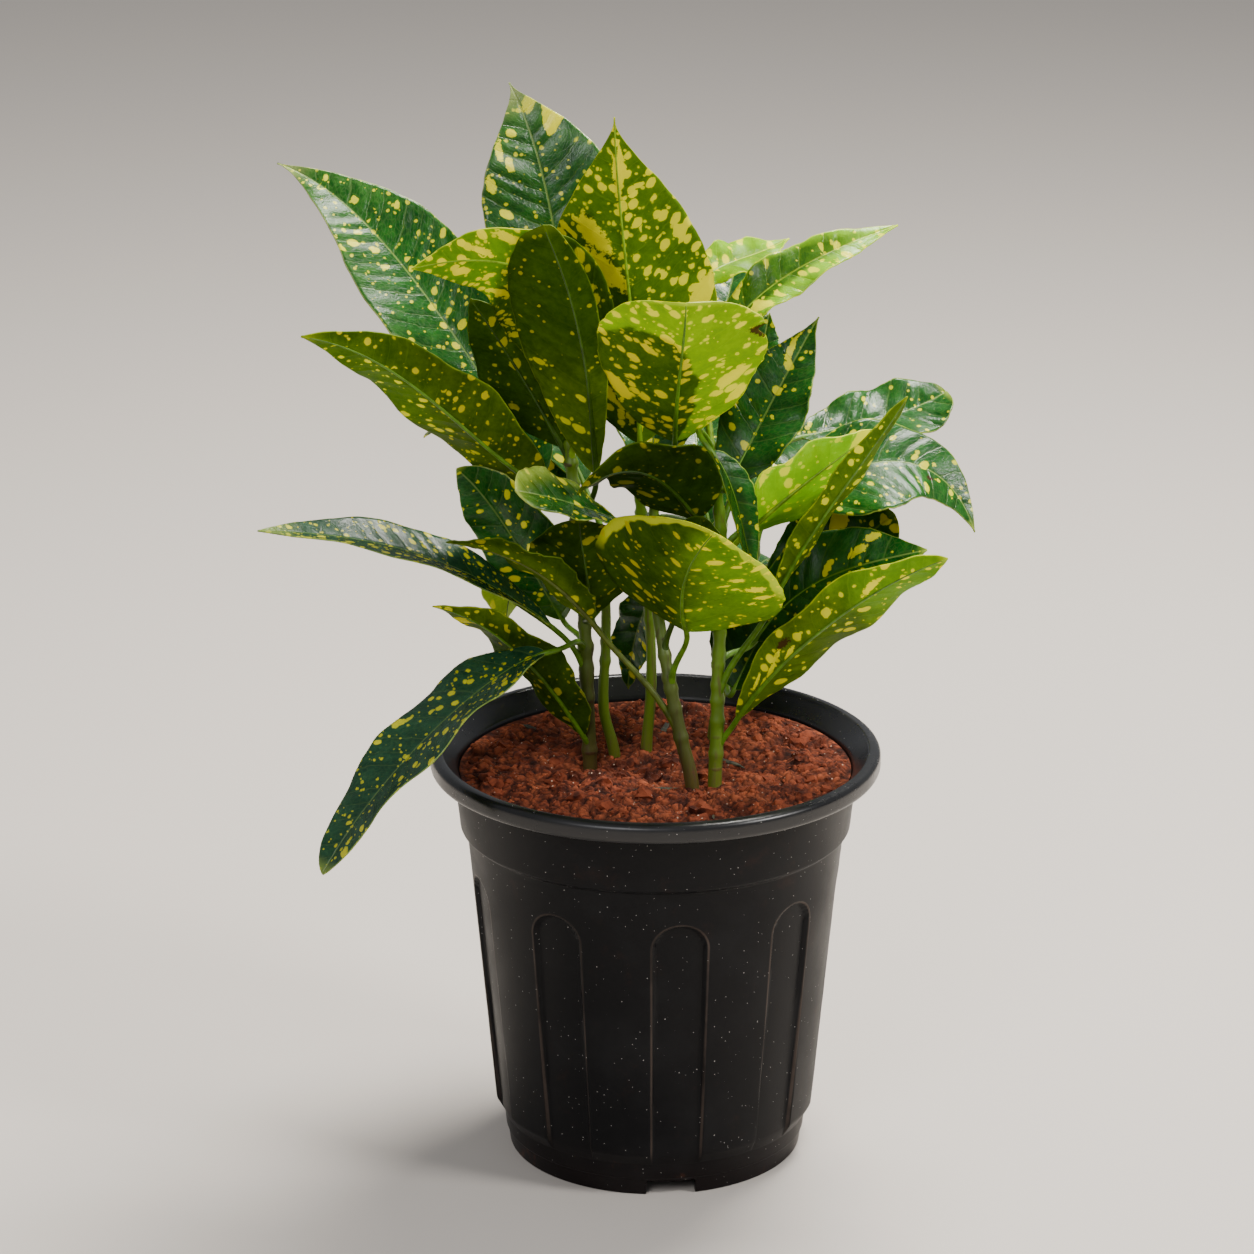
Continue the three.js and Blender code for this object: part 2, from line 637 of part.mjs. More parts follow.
// The side rows keep to the pot's polygon: every second corner lies on its flat.
function makeSoil(stemHoles) {
  const positions = [];
  const faces = [];
  const floor = FLOOR_TOP + GAP;
  const levels = [SOIL_TOP, INNER_STEP, BODY_BOTTOM, floor];
  positions.push(0, 0, soilHeight(0, 0));
  const edge = (z) => (z === floor ? FOOT_RADIUS : innerRadius(z)) - GAP * 1.2;
  const addRing = (radius, heightAt) => {
    for (let k = 0; k < SOIL_SIDES; k += 1) {
      const angle = (2 * Math.PI * k) / SOIL_SIDES;
      const reach = k % 2 === 0 ? radius : radius * Math.cos(Math.PI / POT_SIDES);
      const x = reach * Math.sin(angle);
      const y = reach * Math.cos(angle);
      positions.push(x, y, heightAt(x, y));
    }
  };
  for (let i = 1; i < SOIL_RINGS; i += 1) {
    addRing((edge(SOIL_TOP) * i) / SOIL_RINGS, soilHeight);
  }
  for (const level of levels) {
    addRing(edge(level), () => level);
  }
  positions.push(0, 0, floor);
  const ringCount = SOIL_RINGS - 1 + levels.length;
  const at = (ring, k) => 1 + ring * SOIL_SIDES + (k % SOIL_SIDES);
  const bottom = 1 + ringCount * SOIL_SIDES;
  for (let k = 0; k < SOIL_SIDES; k += 1) {
    faces.push(0, at(0, k + 1), at(0, k));
    faces.push(bottom, at(ringCount - 1, k), at(ringCount - 1, k + 1));
    for (let ring = 0; ring < ringCount - 1; ring += 1) {
      faces.push(at(ring, k), at(ring, k + 1), at(ring + 1, k));
      faces.push(at(ring, k + 1), at(ring + 1, k + 1), at(ring + 1, k));
    }
  }
  const geometry = new THREE.BufferGeometry();
  geometry.setAttribute('position', new THREE.Float32BufferAttribute(positions, 3));
  geometry.setIndex(faces);
  return stemHoles.reduce((soil, hole) => soil.subtract(hole), toSolid(geometry));
}

// The whole plant

const croton = new THREE.Group();
croton.position.copy(POT_AXIS);

const stemHoles = Object.values(STEMS).map((stem) => stemSolid(stem, GAP));

croton.add(toMesh('pot', makePot(), potPlastic));
croton.add(toMesh('soil', makeSoil(stemHoles), redSoil));

for (const [name, stem] of Object.entries(STEMS)) {
  croton.add(toMesh(`stem_${name}`, stemSolid(stem, 0), stem.material));
}

for (const [name, leaf] of Object.entries(LEAVES)) {
  const seat = stemSolid(STEMS[leaf.stem], GAP);
  const material = leaf.material ?? LEAF_DEFAULTS.material;
  croton.add(toMesh(`leaf_${name}`, leafSolid(leaf).subtract(seat), material));
}

export default croton;
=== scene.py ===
import math
import random

import bpy
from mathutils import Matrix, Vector, noise


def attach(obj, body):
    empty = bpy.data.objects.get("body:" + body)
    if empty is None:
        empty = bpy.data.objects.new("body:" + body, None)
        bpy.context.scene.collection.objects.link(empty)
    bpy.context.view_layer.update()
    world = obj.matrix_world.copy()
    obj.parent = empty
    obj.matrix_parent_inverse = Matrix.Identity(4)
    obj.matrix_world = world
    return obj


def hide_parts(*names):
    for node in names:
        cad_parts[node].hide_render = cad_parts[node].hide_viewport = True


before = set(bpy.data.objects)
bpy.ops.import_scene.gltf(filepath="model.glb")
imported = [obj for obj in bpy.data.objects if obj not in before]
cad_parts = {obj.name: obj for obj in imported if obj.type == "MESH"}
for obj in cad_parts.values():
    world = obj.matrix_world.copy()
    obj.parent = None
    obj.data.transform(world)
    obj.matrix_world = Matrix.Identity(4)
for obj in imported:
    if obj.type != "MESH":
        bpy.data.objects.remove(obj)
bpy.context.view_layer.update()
mm = 0.001
potAxis = Vector((16, -14, 0))  # millimetres: the pot stands right and front of the middle
print("frame loaded")


def deselectAll():
    if bpy.context.object and bpy.context.object.mode != "OBJECT":
        bpy.ops.object.mode_set(mode="OBJECT")
    bpy.ops.object.select_all(action="DESELECT")


def pick(*objects):
    deselectAll()
    for one in objects:
        one.select_set(True)
    bpy.context.view_layer.objects.active = objects[0]


# Shader helpers: each adds a node to the tree at hand, and gives back an output or all of them

bench = {"tree": None}


def feed(sockets, values):
    # values come by label, or in the sockets' order
    for label, value in values.items() if isinstance(values, dict) else enumerate(values):
        if isinstance(value, bpy.types.NodeSocket):
            bench["tree"].links.new(value, sockets[label])
        else:
            sockets[label].default_value = value


def addNode(kind, values, **settings):
    node = bench["tree"].nodes.new("ShaderNode" + kind)
    for name, value in settings.items():
        setattr(node, name, value)
    feed(node.inputs, values)
    return node.outputs


def calc(operation, *values):
    return addNode("Math", values, operation=operation)[0]


def chain(operation, values):
    total = values[0]
    for value in values[1:]:
        total = calc(operation, total, value)
    return total


def plus(*values):
    return chain("ADD", values)


def times(*values):
    return chain("MULTIPLY", values)


def most(*values):
    return chain("MAXIMUM", values)


def minus(first, second):
    return calc("SUBTRACT", first, second)


def over(first, second):
    return calc("DIVIDE", first, second)


def hypotenuse(first, second):
    return calc("SQRT", plus(times(first, first), times(second, second)))


def ramp(value, low, high, bottom=0.0, top=1.0):
    values = {"Value": value, "From Min": low, "From Max": high, "To Min": bottom, "To Max": top}
    return addNode("MapRange", values, interpolation_type="SMOOTHSTEP")["Result"]


def blendColour(share, first, second):
    # of this node's many sockets, 6 and 7 take the colours and 2 gives one
    return addNode("Mix", {0: share, 6: first, 7: second}, data_type="RGBA")[2]


def combine(*values):
    return addNode("CombineXYZ", values)[0]


def split(vector):
    return addNode("SeparateXYZ", [vector])


def shift(vector, other, operation="ADD"):
    return addNode("VectorMath", [vector, other], operation=operation)[0]


def cloud(vector, scale, detail=3.0, roughness=0.55):
    return addNode("TexNoise", {"Vector": vector, "Scale": scale, "Detail": detail, "Roughness": roughness})


def cells(vector, scale, feature="F1"):
    return addNode("TexVoronoi", {"Vector": vector, "Scale": scale}, feature=feature)


def bump(height, strength, distance):
    return addNode("Bump", {"Height": height, "Strength": strength, "Distance": distance})[0]


def objectPlace():
    return addNode("TexCoord", [])["Object"]


def uvPlace(name):
    return addNode("UVMap", [], uv_map=name)[0]


def attribute(name):
    return addNode("Attribute", [], attribute_name=name)["Fac"]


def newGroup(name, inputs, outputs):
    # inputs and outputs are labels, and each is a number unless it is named Place
    group = bpy.data.node_groups.new(name, "ShaderNodeTree")
    for way, labels in (("INPUT", inputs), ("OUTPUT", outputs)):
        for label in labels:
            kind = "NodeSocketVector" if label == "Place" else "NodeSocketFloat"
            group.interface.new_socket(label, in_out=way, socket_type=kind)
    bench["tree"] = group
    return group, group.nodes.new("NodeGroupInput").outputs, group.nodes.new("NodeGroupOutput").inputs


def placeGroup(group, values):
    return addNode("Group", values, node_tree=group)


def newMaterial(name):
    material = bpy.data.materials.new(name)
    material.use_nodes = True
    bench["tree"] = material.node_tree
    return material, material.node_tree.nodes["Principled BSDF"]


def paint(shader, colour, rough, shine, normal):
    feed(shader.inputs, {
        "Base Color": colour, "Roughness": rough, "Specular IOR Level": shine, "Normal": normal})


# Camera, floor and light

photoView = {"place": (3.4, -2014, 922), "pitch": 71.26, "lens": 137.8, "sensor": 36}

studio = {
    "floorSize": 9.0,
    "floorColour": (0.52, 0.475, 0.43, 1),
    "skyColour": (0.93, 0.96, 1.0, 1),
    "skyStrength": 0.38,
    "lamps": [  # name, place, look-at point, size, watts, colour
        ("topSoftbox", (0.42, 0.55, 1.75), (0, 0, 0.3), 0.8, 84, (1.0, 0.97, 0.91)),
        ("frontSoftbox", (-0.8, -2.1, 1.75), (0, 0, 0.3), 1.1, 28, (0.98, 0.98, 1.0)),
        ("rightSoftbox", (1.45, -0.7, 1.4), (0, 0, 0.35), 0.5, 29, (1.0, 0.98, 0.95)),
    ],
}


def makeCamera():
    place = Vector(photoView["place"]) * mm
    bpy.ops.object.camera_add(location=place, rotation=(math.radians(photoView["pitch"]), 0, 0))
    camera = bpy.context.object
    camera.name = "photoCamera"
    camera.data.lens = photoView["lens"]
    camera.data.sensor_width = photoView["sensor"]
    camera.data.clip_start = 0.05
    bpy.context.scene.camera = camera


def makeStudio():
    paleFloor, shader = newMaterial("paleFloor")
    feed(shader.inputs, {"Base Color": studio["floorColour"], "Roughness": 0.9})
    bpy.ops.mesh.primitive_plane_add(size=studio["floorSize"], location=(0, 0, 0))
    floor = bpy.context.object
    floor.name = "floor"
    floor.data.materials.append(paleFloor)

    sky = bpy.data.worlds.new("softSky")
    sky.use_nodes = True
    background = sky.node_tree.nodes["Background"]
    feed(background.inputs, {"Color": studio["skyColour"], "Strength": studio["skyStrength"]})
    bpy.context.scene.world = sky

    for name, place, aim, size, watts, colour in studio["lamps"]:
        bpy.ops.object.light_add(type="AREA", location=place)
        lamp = bpy.context.object
        lamp.name = name
        lamp.rotation_euler = (Vector(aim) - Vector(place)).to_track_quat("-Z", "Y").to_euler()
        lamp.data.shape = "DISK"
        lamp.data.size = size
        lamp.data.energy = watts
        lamp.data.color = colour


deselectAll()
makeCamera()
makeStudio()
print("camera, floor and light made")


# Specks and smears of soil that pot and stems share

def makeDustGroup():
    group, given, out = newGroup("fineDust", ("Place", "Scale", "Amount", "Size"), ("Specks", "Smears"))
    wobble = cloud(given["Place"], 900, 2)["Color"]
    bent = shift(given["Place"], shift(wobble, (0.0007, 0.0007, 0.0007), "MULTIPLY"))
    grain = cells(bent, given["Scale"])
    rare = ramp(split(grain["Color"])[0], minus(1.0, given["Amount"]), 1.0)
    radius = times(rare, given["Size"])
    speck = ramp(grain["Distance"], times(radius, 0.7), radius, 1.0, 0.0)
    wide = cloud(given["Place"], 60, 6, 0.7)["Fac"]
    feed(out, {"Specks": times(speck, ramp(rare, 0.0, 0.05)), "Smears": ramp(wide, 0.56, 0.74)})
    return group


dustGroup = makeDustGroup()


# Pot: one turned profile, with flutes pressed into its body, and notches and drains cut out.
# Measures are in millimetres and degrees.

pot = {
    "columns": 432,
    "rowGap": 6,
    "closeRowGap": 0.55,
    "closeRows": 31,
    "height": 188,
    "rimRadius": 100,
    "rimInnerRadius": 93.6,
    "lipBottom": 179.5,
    "collarTopRadius": 89.8,
    "collarWall": 2,
    "collarRadius": 86.8,
    "collarBottom": 152.5,
    "collarStep": 2,
    "bodyTopRadius": 84,
    "bodyBottom": 21.5,
    "bodyBottomRadius": 72,
    "chamferBottom": 15.5,
    "chamferRadius": 68.2,
    "footRadius": 65.7,
    "footTopRadius": 67.3,
    "footWall": 4,
    "footFillet": 2,
    "floorBottom": 8,
    "floorTop": 11,
    "wall": 3.6,
    "flutes": 9,
    "fluteWidth": 24,
    "fluteTop": 135,
    "fluteDepth": 2,
    "fluteEdge": 1.5,
    "firstFlute": 7.4,
    "pull": 0.62,
    "pullReach": 0.07,
    "pullRadius": 78,
    "notches": 3,
    "notchWidth": 22,
    "notchHeight": 7,
    "notchDepth": 16,
    "notchRounding": 1.2,
    "firstNotch": 6,
    "drains": 6,
    "drainRadius": 4.5,
    "drainCircle": 42,
    "drainDepth": 20,
    "colour": (0.0048, 0.0048, 0.0054, 1),
    "wornColour": (0.0088, 0.0088, 0.0094, 1),
    "dustColour": (0.42, 0.40, 0.38, 1),
    "edgeDustAndHighlightColour": (0.075, 0.055, 0.044, 1),
    "clayColour": (0.12, 0.04, 0.018, 1),
}
flutePitch = 2 * math.pi / pot["flutes"]
collarFoot = pot["collarBottom"] - 2 * pot["collarStep"]


def bodyRadius(z):
    share = (z - pot["bodyBottom"]) / (pot["collarBottom"] - pot["bodyBottom"])
    return pot["bodyBottomRadius"] + (pot["bodyTopRadius"] - pot["bodyBottomRadius"]) * share


def innerRadius(z):
    if z < collarFoot:
        return bodyRadius(z) - pot["wall"]
    share = (z - collarFoot) / (pot["lipBottom"] - collarFoot)
    foot = bodyRadius(collarFoot) - pot["wall"]
    return foot + (pot["collarTopRadius"] - pot["collarWall"] - foot) * share


def roundedProfile(corners):
    # each corner is (radius, height, rounding); a rounding of 0 stays sharp
    points = []
    for i, (r, z, rounding) in enumerate(corners):
        here = Vector((r, z))
        if rounding == 0:
            points.append(here)
            continue
        back = Vector(corners[i - 1][:2]) - here
        ahead = Vector(corners[i + 1][:2]) - here
        start = here + back.normalized() * min(rounding, back.length * 0.45)
        end = here + ahead.normalized() * min(rounding, ahead.length * 0.45)
        for k in range(5):
            t = k / 4
            points.append(start * (1 - t) ** 2 + here * 2 * t * (1 - t) + end * t ** 2)
    return points


def potProfile():
    foot, rim, inside = pot["footRadius"], pot["rimRadius"], pot["rimInnerRadius"]
    floor, body, lip, top = pot["floorBottom"], pot["bodyBottom"], pot["lipBottom"], pot["height"]
    points = roundedProfile([
        (0, floor, 0),
        (foot - pot["footWall"] - pot["footFillet"], floor, 0.8),
        (foot - pot["footWall"], 0, 0.8),
        (foot, 0, 0.9),
        (pot["footTopRadius"] - 0.5, floor - 0.2, 0.5),
        (pot["footTopRadius"] + 0.2, floor + 0.4, 0.4),
        (pot["chamferRadius"], pot["chamferBottom"], 0.6),
        (pot["bodyBottomRadius"], body, 1.2),
        (pot["bodyTopRadius"], pot["collarBottom"] - pot["collarStep"], 0.7),
        (pot["collarRadius"], pot["collarBottom"], 0.9),
        (pot["collarTopRadius"], lip, 0.8),
        (rim - 0.9, lip, 0.9),
        (rim, lip + 1.4, 1.0),
        (rim, top - 1.6, 1.6),
        (rim - 1.9, top, 1.4),
        (inside + 1.2, top, 1.0),
        (inside, top - 1.6, 1.4),
        (innerRadius(lip), lip, 1.5),
        (innerRadius(collarFoot), collarFoot, 0.8),
        (innerRadius(body), body, 2),
        (foot, pot["floorTop"], 2),
        (0, pot["floorTop"], 0),
    ])
    # the body's straight side gets rows of points, close together where the flutes' round tops are
    corner = max(i for i, q in enumerate(points)
                 if q.x > pot["footTopRadius"] + 2 and q.y < 40 and abs(q.x - bodyRadius(q.y)) < 0.4)
    closeFrom = pot["fluteTop"] - pot["fluteWidth"] / 2 - 2
    rows = [z for z in (body + 1.5 + pot["rowGap"] * k for k in range(15)) if z < closeFrom]
    rows += [closeFrom + pot["closeRowGap"] * k for k in range(pot["closeRows"])]
    return points[:corner + 1] + [Vector((bodyRadius(z), z)) for z in rows] + points[corner + 1:]


def smoothStep(value, low, high):
    share = min(1, max(0, (value - low) / (high - low)))
    return share * share * (3 - 2 * share)


def fluteShare(angle, z):
    # 1 inside a flute, 0 on the plain wall, and a soft edge between
    turned = angle - math.radians(pot["firstFlute"])
    off = (turned + flutePitch / 2) % flutePitch - flutePitch / 2
    across = abs(off) * bodyRadius(z)
    half = pot["fluteWidth"] / 2
    above = z - (pot["fluteTop"] - half)
    reach = math.hypot(across, above) if above > 0 else across
    return 1 - smoothStep(reach, half - pot["fluteEdge"], half)


def turnProfile(name, profile):
    bpy.ops.mesh.primitive_circle_add(vertices=len(profile), radius=0.05)
    piece = bpy.context.object
    piece.name = name
    for vertex, point in zip(piece.data.vertices, profile):
        vertex.co = Vector((point.x, 0, point.y)) * mm
    bpy.ops.object.mode_set(mode="EDIT")
    bpy.ops.mesh.select_mode(type="EDGE")
    bpy.ops.mesh.select_all(action="DESELECT")
    bpy.ops.object.mode_set(mode="OBJECT")
    for edge in piece.data.edges:  # the circle's closing edge would lie on the axis
        edge.select = set(edge.vertices) == {0, len(profile) - 1}
    bpy.ops.object.mode_set(mode="EDIT")
    bpy.ops.mesh.delete(type="EDGE")
    bpy.ops.mesh.select_mode(type="VERT")
    bpy.ops.mesh.select_all(action="SELECT")
    bpy.ops.mesh.spin(steps=pot["columns"], angle=2 * math.pi, center=(0, 0, 0), axis=(0, 0, 1))
    bpy.ops.mesh.select_all(action="SELECT")
    bpy.ops.mesh.remove_doubles(threshold=0.00002)
    bpy.ops.mesh.normals_make_consistent(inside=False)
    bpy.ops.object.mode_set(mode="OBJECT")
    return piece


def pressFlutes(piece):
    edge = pot["fluteWidth"] / 2 / pot["pullRadius"] / flutePitch
    for vertex in piece.data.vertices:
        x, y, z = vertex.co / mm
        radius = math.hypot(x, y)
        if radius < 1:
            continue
        angle = math.atan2(x, -y)
        # the columns draw together at the flutes' edges; off is 0.5 at a flute's middle
        off = (angle - math.radians(pot["firstFlute"]) + flutePitch / 2) % flutePitch / flutePitch
        gaps = [off - 0.5 - sign * edge for sign in (-1, 1)]
        angle -= sum(
            pot["pull"] * gap * math.exp(-(gap / pot["pullReach"]) ** 2) for gap in gaps
        ) * flutePitch
        outside = radius > innerRadius(z) + pot["wall"] * 0.6
        if outside and pot["chamferBottom"] + 1.5 < z < pot["collarBottom"] - 3:
            cut = fluteShare(angle, z)
            radius = min(radius, radius + cut * (bodyRadius(z) - pot["fluteDepth"] - radius))
        vertex.co = Vector((radius * math.sin(angle), -radius * math.cos(angle), z)) * mm


def footCutters():
    cutters = []
    for i in range(pot["notches"]):
        angle = math.radians(pot["firstNotch"] + 360 * i / pot["notches"])
        place = Vector((math.sin(angle), -math.cos(angle), 0)) * pot["footRadius"] * mm
        bpy.ops.mesh.primitive_cube_add(size=1, location=place, rotation=(0, 0, angle))
        notch = bpy.context.object
        notch.scale = (pot["notchWidth"] * mm, pot["notchDepth"] * mm, 2 * pot["notchHeight"] * mm)
        bpy.ops.object.transform_apply(location=True, rotation=True, scale=True)
        soften = notch.modifiers.new("soften", "BEVEL")
        soften.width = pot["notchRounding"] * mm
        soften.segments = 3
        bpy.ops.object.modifier_apply(modifier=soften.name)
        cutters.append(notch)
    for i in range(pot["drains"]):
        angle, radius = math.radians(360 * i / pot["drains"]), pot["drainCircle"]
        place = Vector((math.sin(angle) * radius, -math.cos(angle) * radius, pot["floorBottom"])) * mm
        bpy.ops.mesh.primitive_cylinder_add(
            vertices=32, radius=pot["drainRadius"] * mm, depth=pot["drainDepth"] * mm, location=place)
        bpy.ops.object.transform_apply(location=True)
        cutters.append(bpy.context.object)
    return cutters


def cutFrom(piece, cutters):
    pick(*cutters)
    bpy.ops.object.join()
    cutter = bpy.context.object
    pick(piece)
    cut = piece.modifiers.new("cut", "BOOLEAN")
    cut.operation = "DIFFERENCE"
    cut.solver = "EXACT"
    cut.object = cutter
    bpy.ops.object.modifier_apply(modifier=cut.name)
    bpy.data.objects.remove(cutter)


def makePot():
    piece = turnProfile("nurseryPot", potProfile())
    pressFlutes(piece)
    cutFrom(piece, footCutters())
    piece.location = potAxis * mm
    pick(piece)
    bpy.ops.object.transform_apply(location=True)
    bpy.ops.object.shade_smooth_by_angle(angle=math.radians(40))
    return piece


def makeFluteGroup():
    # a thin line along the flutes' edges, partly worn clay dust and partly a painted highlight
    group, given, out = newGroup("fluteEdges", ("Place",), ("Edge",))
    place = split(shift(given["Place"], tuple(potAxis * mm), "SUBTRACT"))
    angle = calc("ARCTAN2", place[0], times(place[1], -1.0))
    turned = over(minus(angle, math.radians(pot["firstFlute"]) - flutePitch / 2 - 2 * math.pi), flutePitch)
    off = calc("ABSOLUTE", minus(calc("FRACT", turned), 0.5))
    across = times(off, flutePitch * (bodyRadius(80) * mm))
    half = pot["fluteWidth"] / 2 * mm
    above = most(minus(place[2], pot["fluteTop"] * mm - half), 0.0)
    reach = hypotenuse(across, above)
    line = ramp(calc("ABSOLUTE", minus(reach, half)), 0.0007, 0.0002, 0.0, 1.0)
    body = ramp(place[2], pot["chamferBottom"] * mm, pot["bodyBottom"] * mm + 0.004)
    feed(out, [times(line, body)])
    return group


fluteGroup = makeFluteGroup()


def potPlastic():
    material, shader = newMaterial("potPlastic")
    place = objectPlace()
    height = split(place)[2]
    wear = cloud(place, 22, 5, 0.6)["Fac"]
    streaks = cloud(shift(place, (160, 160, 9), "MULTIPLY"), 1.0, 3)["Fac"]
    grain = cloud(place, 1400, 2)["Fac"]
    dust = placeGroup(dustGroup, {"Place": place, "Scale": 640, "Amount": 0.32, "Size": 0.15})
    edge = placeGroup(fluteGroup, {"Place": place})["Edge"]
    footClay = times(ramp(height, 0.03, 0.0), ramp(dust["Smears"], 0.0, 0.9, 0.03, 0.4))
    ledgeClay = times(dust["Smears"], ramp(height, 0.176, 0.18, 0.06, 0.02))
    colour = blendColour(ramp(wear, 0.42, 0.7), pot["colour"], pot["wornColour"])
    colour = blendColour(most(footClay, ledgeClay), colour, pot["clayColour"])
    # the flutes' edge line: partly clay dust, partly a painted highlight on the edges
    colour = blendColour(times(edge, ramp(wear, 0.35, 0.62, 0.15, 0.6)), colour, pot["edgeDustAndHighlightColour"])
    colour = blendColour(dust["Specks"], colour, pot["dustColour"])
    onRim = ramp(height, (pot["lipBottom"] - 1) * mm, pot["lipBottom"] * mm)
    rough = plus(ramp(wear, 0.3, 0.75, 0.34, 0.5), times(dust["Specks"], 0.3))
    relief = plus(times(grain, 0.25), times(streaks, 0.2), times(dust["Specks"], 0.8))
    rough = minus(rough, times(onRim, 0.14))
    paint(shader, colour, rough, plus(times(onRim, 0.35), 0.1), bump(relief, 0.25, 0.0004))
    return material


def finishPiece(piece, node, slotName, *materials):
    for material in materials:
        piece.data.materials.append(material)
    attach(piece, "root")
    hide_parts(node)


finishPiece(makePot(), "pot", "pot_plastic", potPlastic())
print("pot made")


# Soil: a bumpy filling with plates of clay and crevices between them, and loose bits strewn on it.
# Measures are in millimetres.

soil = {
    "top": 178,
    "gap": 0.42,
    "columns": 290,
    "swell": 1.2,
    "ripple": 0.8,
    "clods": 90,
    "clodSpacing": 8.9,
    "clodHeight": 2.3,
    "clodSize": 5.6,
    "plates": [(8.4, 1.0), (4.4, 1.0), (2.3, 0.4)],  # size, rise
    "grainSize": 4.5,
    "grain": 0.4,
    "seed": 11,
    "patterns": 5,
    "sunk": 0.36,
    # deep is the painted shade that fills the crevices
    "deep": (0.010, 0.003, 0.002, 1),
    "dark": (0.036, 0.009, 0.005, 1),
    "red": (0.22, 0.048, 0.019, 1),
    "bright": (0.36, 0.092, 0.036, 1),
    "pale": (0.55, 0.38, 0.27, 1),
    "dryDark": (0.018, 0.02, 0.012, 1),
    "dryLight": (0.07, 0.066, 0.036, 1),
}

# How many loose bits, least and greatest size, shares of that size along its axes, how round, and its tilt
# in radians. Boulders lie spread about chosen places, and the others anywhere.

looseBits = {
    "clods": {"count": 230, "sizes": (1.6, 5.6), "shape": (1.0, 0.8, 0.58), "rounds": 2, "tilt": 0.5},
    "boulders": {
        "count": 24, "sizes": (2.6, 5.6), "shape": (1.0, 0.8, 0.74), "rounds": 3, "tilt": 0.6,
        "near": [(58, 42), (66, 30), (-8, -4), (34, -8), (-60, 22), (-24, -14)], "spread": 7,
    },
    "crumbs": {"count": 900, "sizes": (0.5, 1.5), "shape": (1.0, 0.8, 0.7), "rounds": 1, "tilt": 0.7},
    "flakes": {"count": 110, "sizes": (0.6, 2.4), "shape": (1.0, 0.4, 0.15), "rounds": 1, "tilt": 0.3},
    "litter": {"count": 8, "sizes": (4.0, 10.0), "shape": (1.0, 0.16, 0.07), "rounds": 2, "tilt": 0.1},
}


def soilHeight(x, y):
    # the swell and the large clods, the same as the solid has
    height = soil["top"] + soil["swell"] * math.sin(x * 0.09 + 0.7) * math.cos(y * 0.08)
    height += soil["ripple"] * math.sin(y * 0.17 + x * 0.11)
    for i in range(soil["clods"]):
        angle = i * 2.39996
        radius = soil["clodSpacing"] * math.sqrt(i + 0.5)
        distance = math.hypot(x - radius * math.cos(angle), y - radius * math.sin(angle))
        size = soil["clodSize"] * (1 + 0.35 * math.sin(i * 1.7))
        if distance < 4 * size:
            height += soil["clodHeight"] * (1 + 0.7 * math.sin(i * 2.3)) * math.exp(-(distance / size) ** 2)
    return height


def lumps(x, y):
    # plates and knobs of clay, coarse and fine, and how near a point is to a crevice between them
    total, crack = 0, 0
    for size, rise in soil["plates"]:
        bend = 0.3 * noise.noise(Vector((x, y, size)) / 5)
        near = noise.voronoi(Vector((x / size + size + bend, y / size - bend, bend)))[0]
        gap = near[1] - near[0]
        total += rise * (min(1.0, gap * 3.6) - 0.75)
        crack = max(crack, (1 - gap * 4.5) * min(1, rise * 1.2))
    total += soil["grain"] * noise.fractal(Vector((x, y, 3)) / soil["grainSize"], 1.0, 2.1, 3)
    return total, crack


def makeSoil():
    rim = innerRadius(soil["top"]) - soil["gap"]
    bpy.ops.mesh.primitive_grid_add(x_subdivisions=soil["columns"], y_subdivisions=soil["columns"], size=2)
    piece = bpy.context.object
    piece.name = "soilFill"
    cracks = []
    for vertex in piece.data.vertices:
        a, b = vertex.co.x, vertex.co.y
        x = a * math.sqrt(1 - b * b / 2) * rim
        y = b * math.sqrt(1 - a * a / 2) * rim
        inside = smoothStep(rim - math.hypot(x, y), 0, 5)
        rise, crack = lumps(x, y)
        z = soil["top"] + (soilHeight(x, y) - soil["top"] + rise) * inside
        vertex.co = Vector((x, y, z)) * mm
        cracks.append(crack)
    # how near each point is to a crevice, kept for the painted shade in the soil's colour
    piece.data.attributes.new("crevice", "FLOAT", "POINT").data.foreach_set("value", cracks)
    # the surface's edge is drawn down along the pot's inside and closed at the floor
    pick(piece)
    bpy.ops.object.mode_set(mode="EDIT")
    bpy.ops.mesh.select_all(action="DESELECT")
    bpy.ops.mesh.select_non_manifold(extend=False)
    above, width = soil["top"], rim
    for level in (collarFoot, pot["bodyBottom"], pot["floorTop"] + 0.4):
        narrower = (innerRadius(level) if level > pot["floorTop"] + 1 else pot["footRadius"]) - soil["gap"]
        share = narrower / width
        bpy.ops.mesh.extrude_region_move(TRANSFORM_OT_translate={"value": (0, 0, (level - above) * mm)})
        bpy.ops.transform.resize(value=(share, share, 1), center_override=(0, 0, level * mm))
        above, width = level, narrower
    bpy.ops.mesh.edge_face_add()
    bpy.ops.mesh.select_all(action="SELECT")
    bpy.ops.mesh.normals_make_consistent(inside=False)
    bpy.ops.object.mode_set(mode="OBJECT")
    piece.location = potAxis * mm
    bpy.ops.object.transform_apply(location=True)
    bpy.ops.object.shade_smooth_by_angle(angle=math.radians(60))
    return piece


def soilClay(name, lift, reddest=1.0):
    # lift moves the clay to its bright red, and reddest is the most red that dark clay takes
    material, shader = newMaterial(name)
    place = objectPlace()
    patch = cloud(place, 45, 6, 0.6)["Fac"]
    crumb = cloud(place, 190, 4, 0.5)["Fac"]
    grit = cells(place, 900)
    chance = split(grit["Color"])[1]
    fleck = times(ramp(chance, 0.984, 0.987), ramp(grit["Distance"], 0.42, 0.3))
    colour = blendColour(ramp(crumb, 0.33, 0.56, 0.05, reddest), soil["dark"], soil["red"])
    colour = blendColour(
        ramp(plus(patch, times(crumb, 0.6)), 0.72 - lift, 1.05 - lift), colour, soil["bright"])
    colour = blendColour(fleck, colour, soil["pale"])
    # painted shade: clay near a crevice is darkened towards deep, where shade falls between the plates
    colour = blendColour(times(attribute("crevice"), 0.85), colour, soil["deep"])
    relief = plus(crumb, times(grit["Distance"], 0.35))
    paint(shader, colour, 0.92, 0.2, bump(relief, 0.6, 0.0008))
    return material


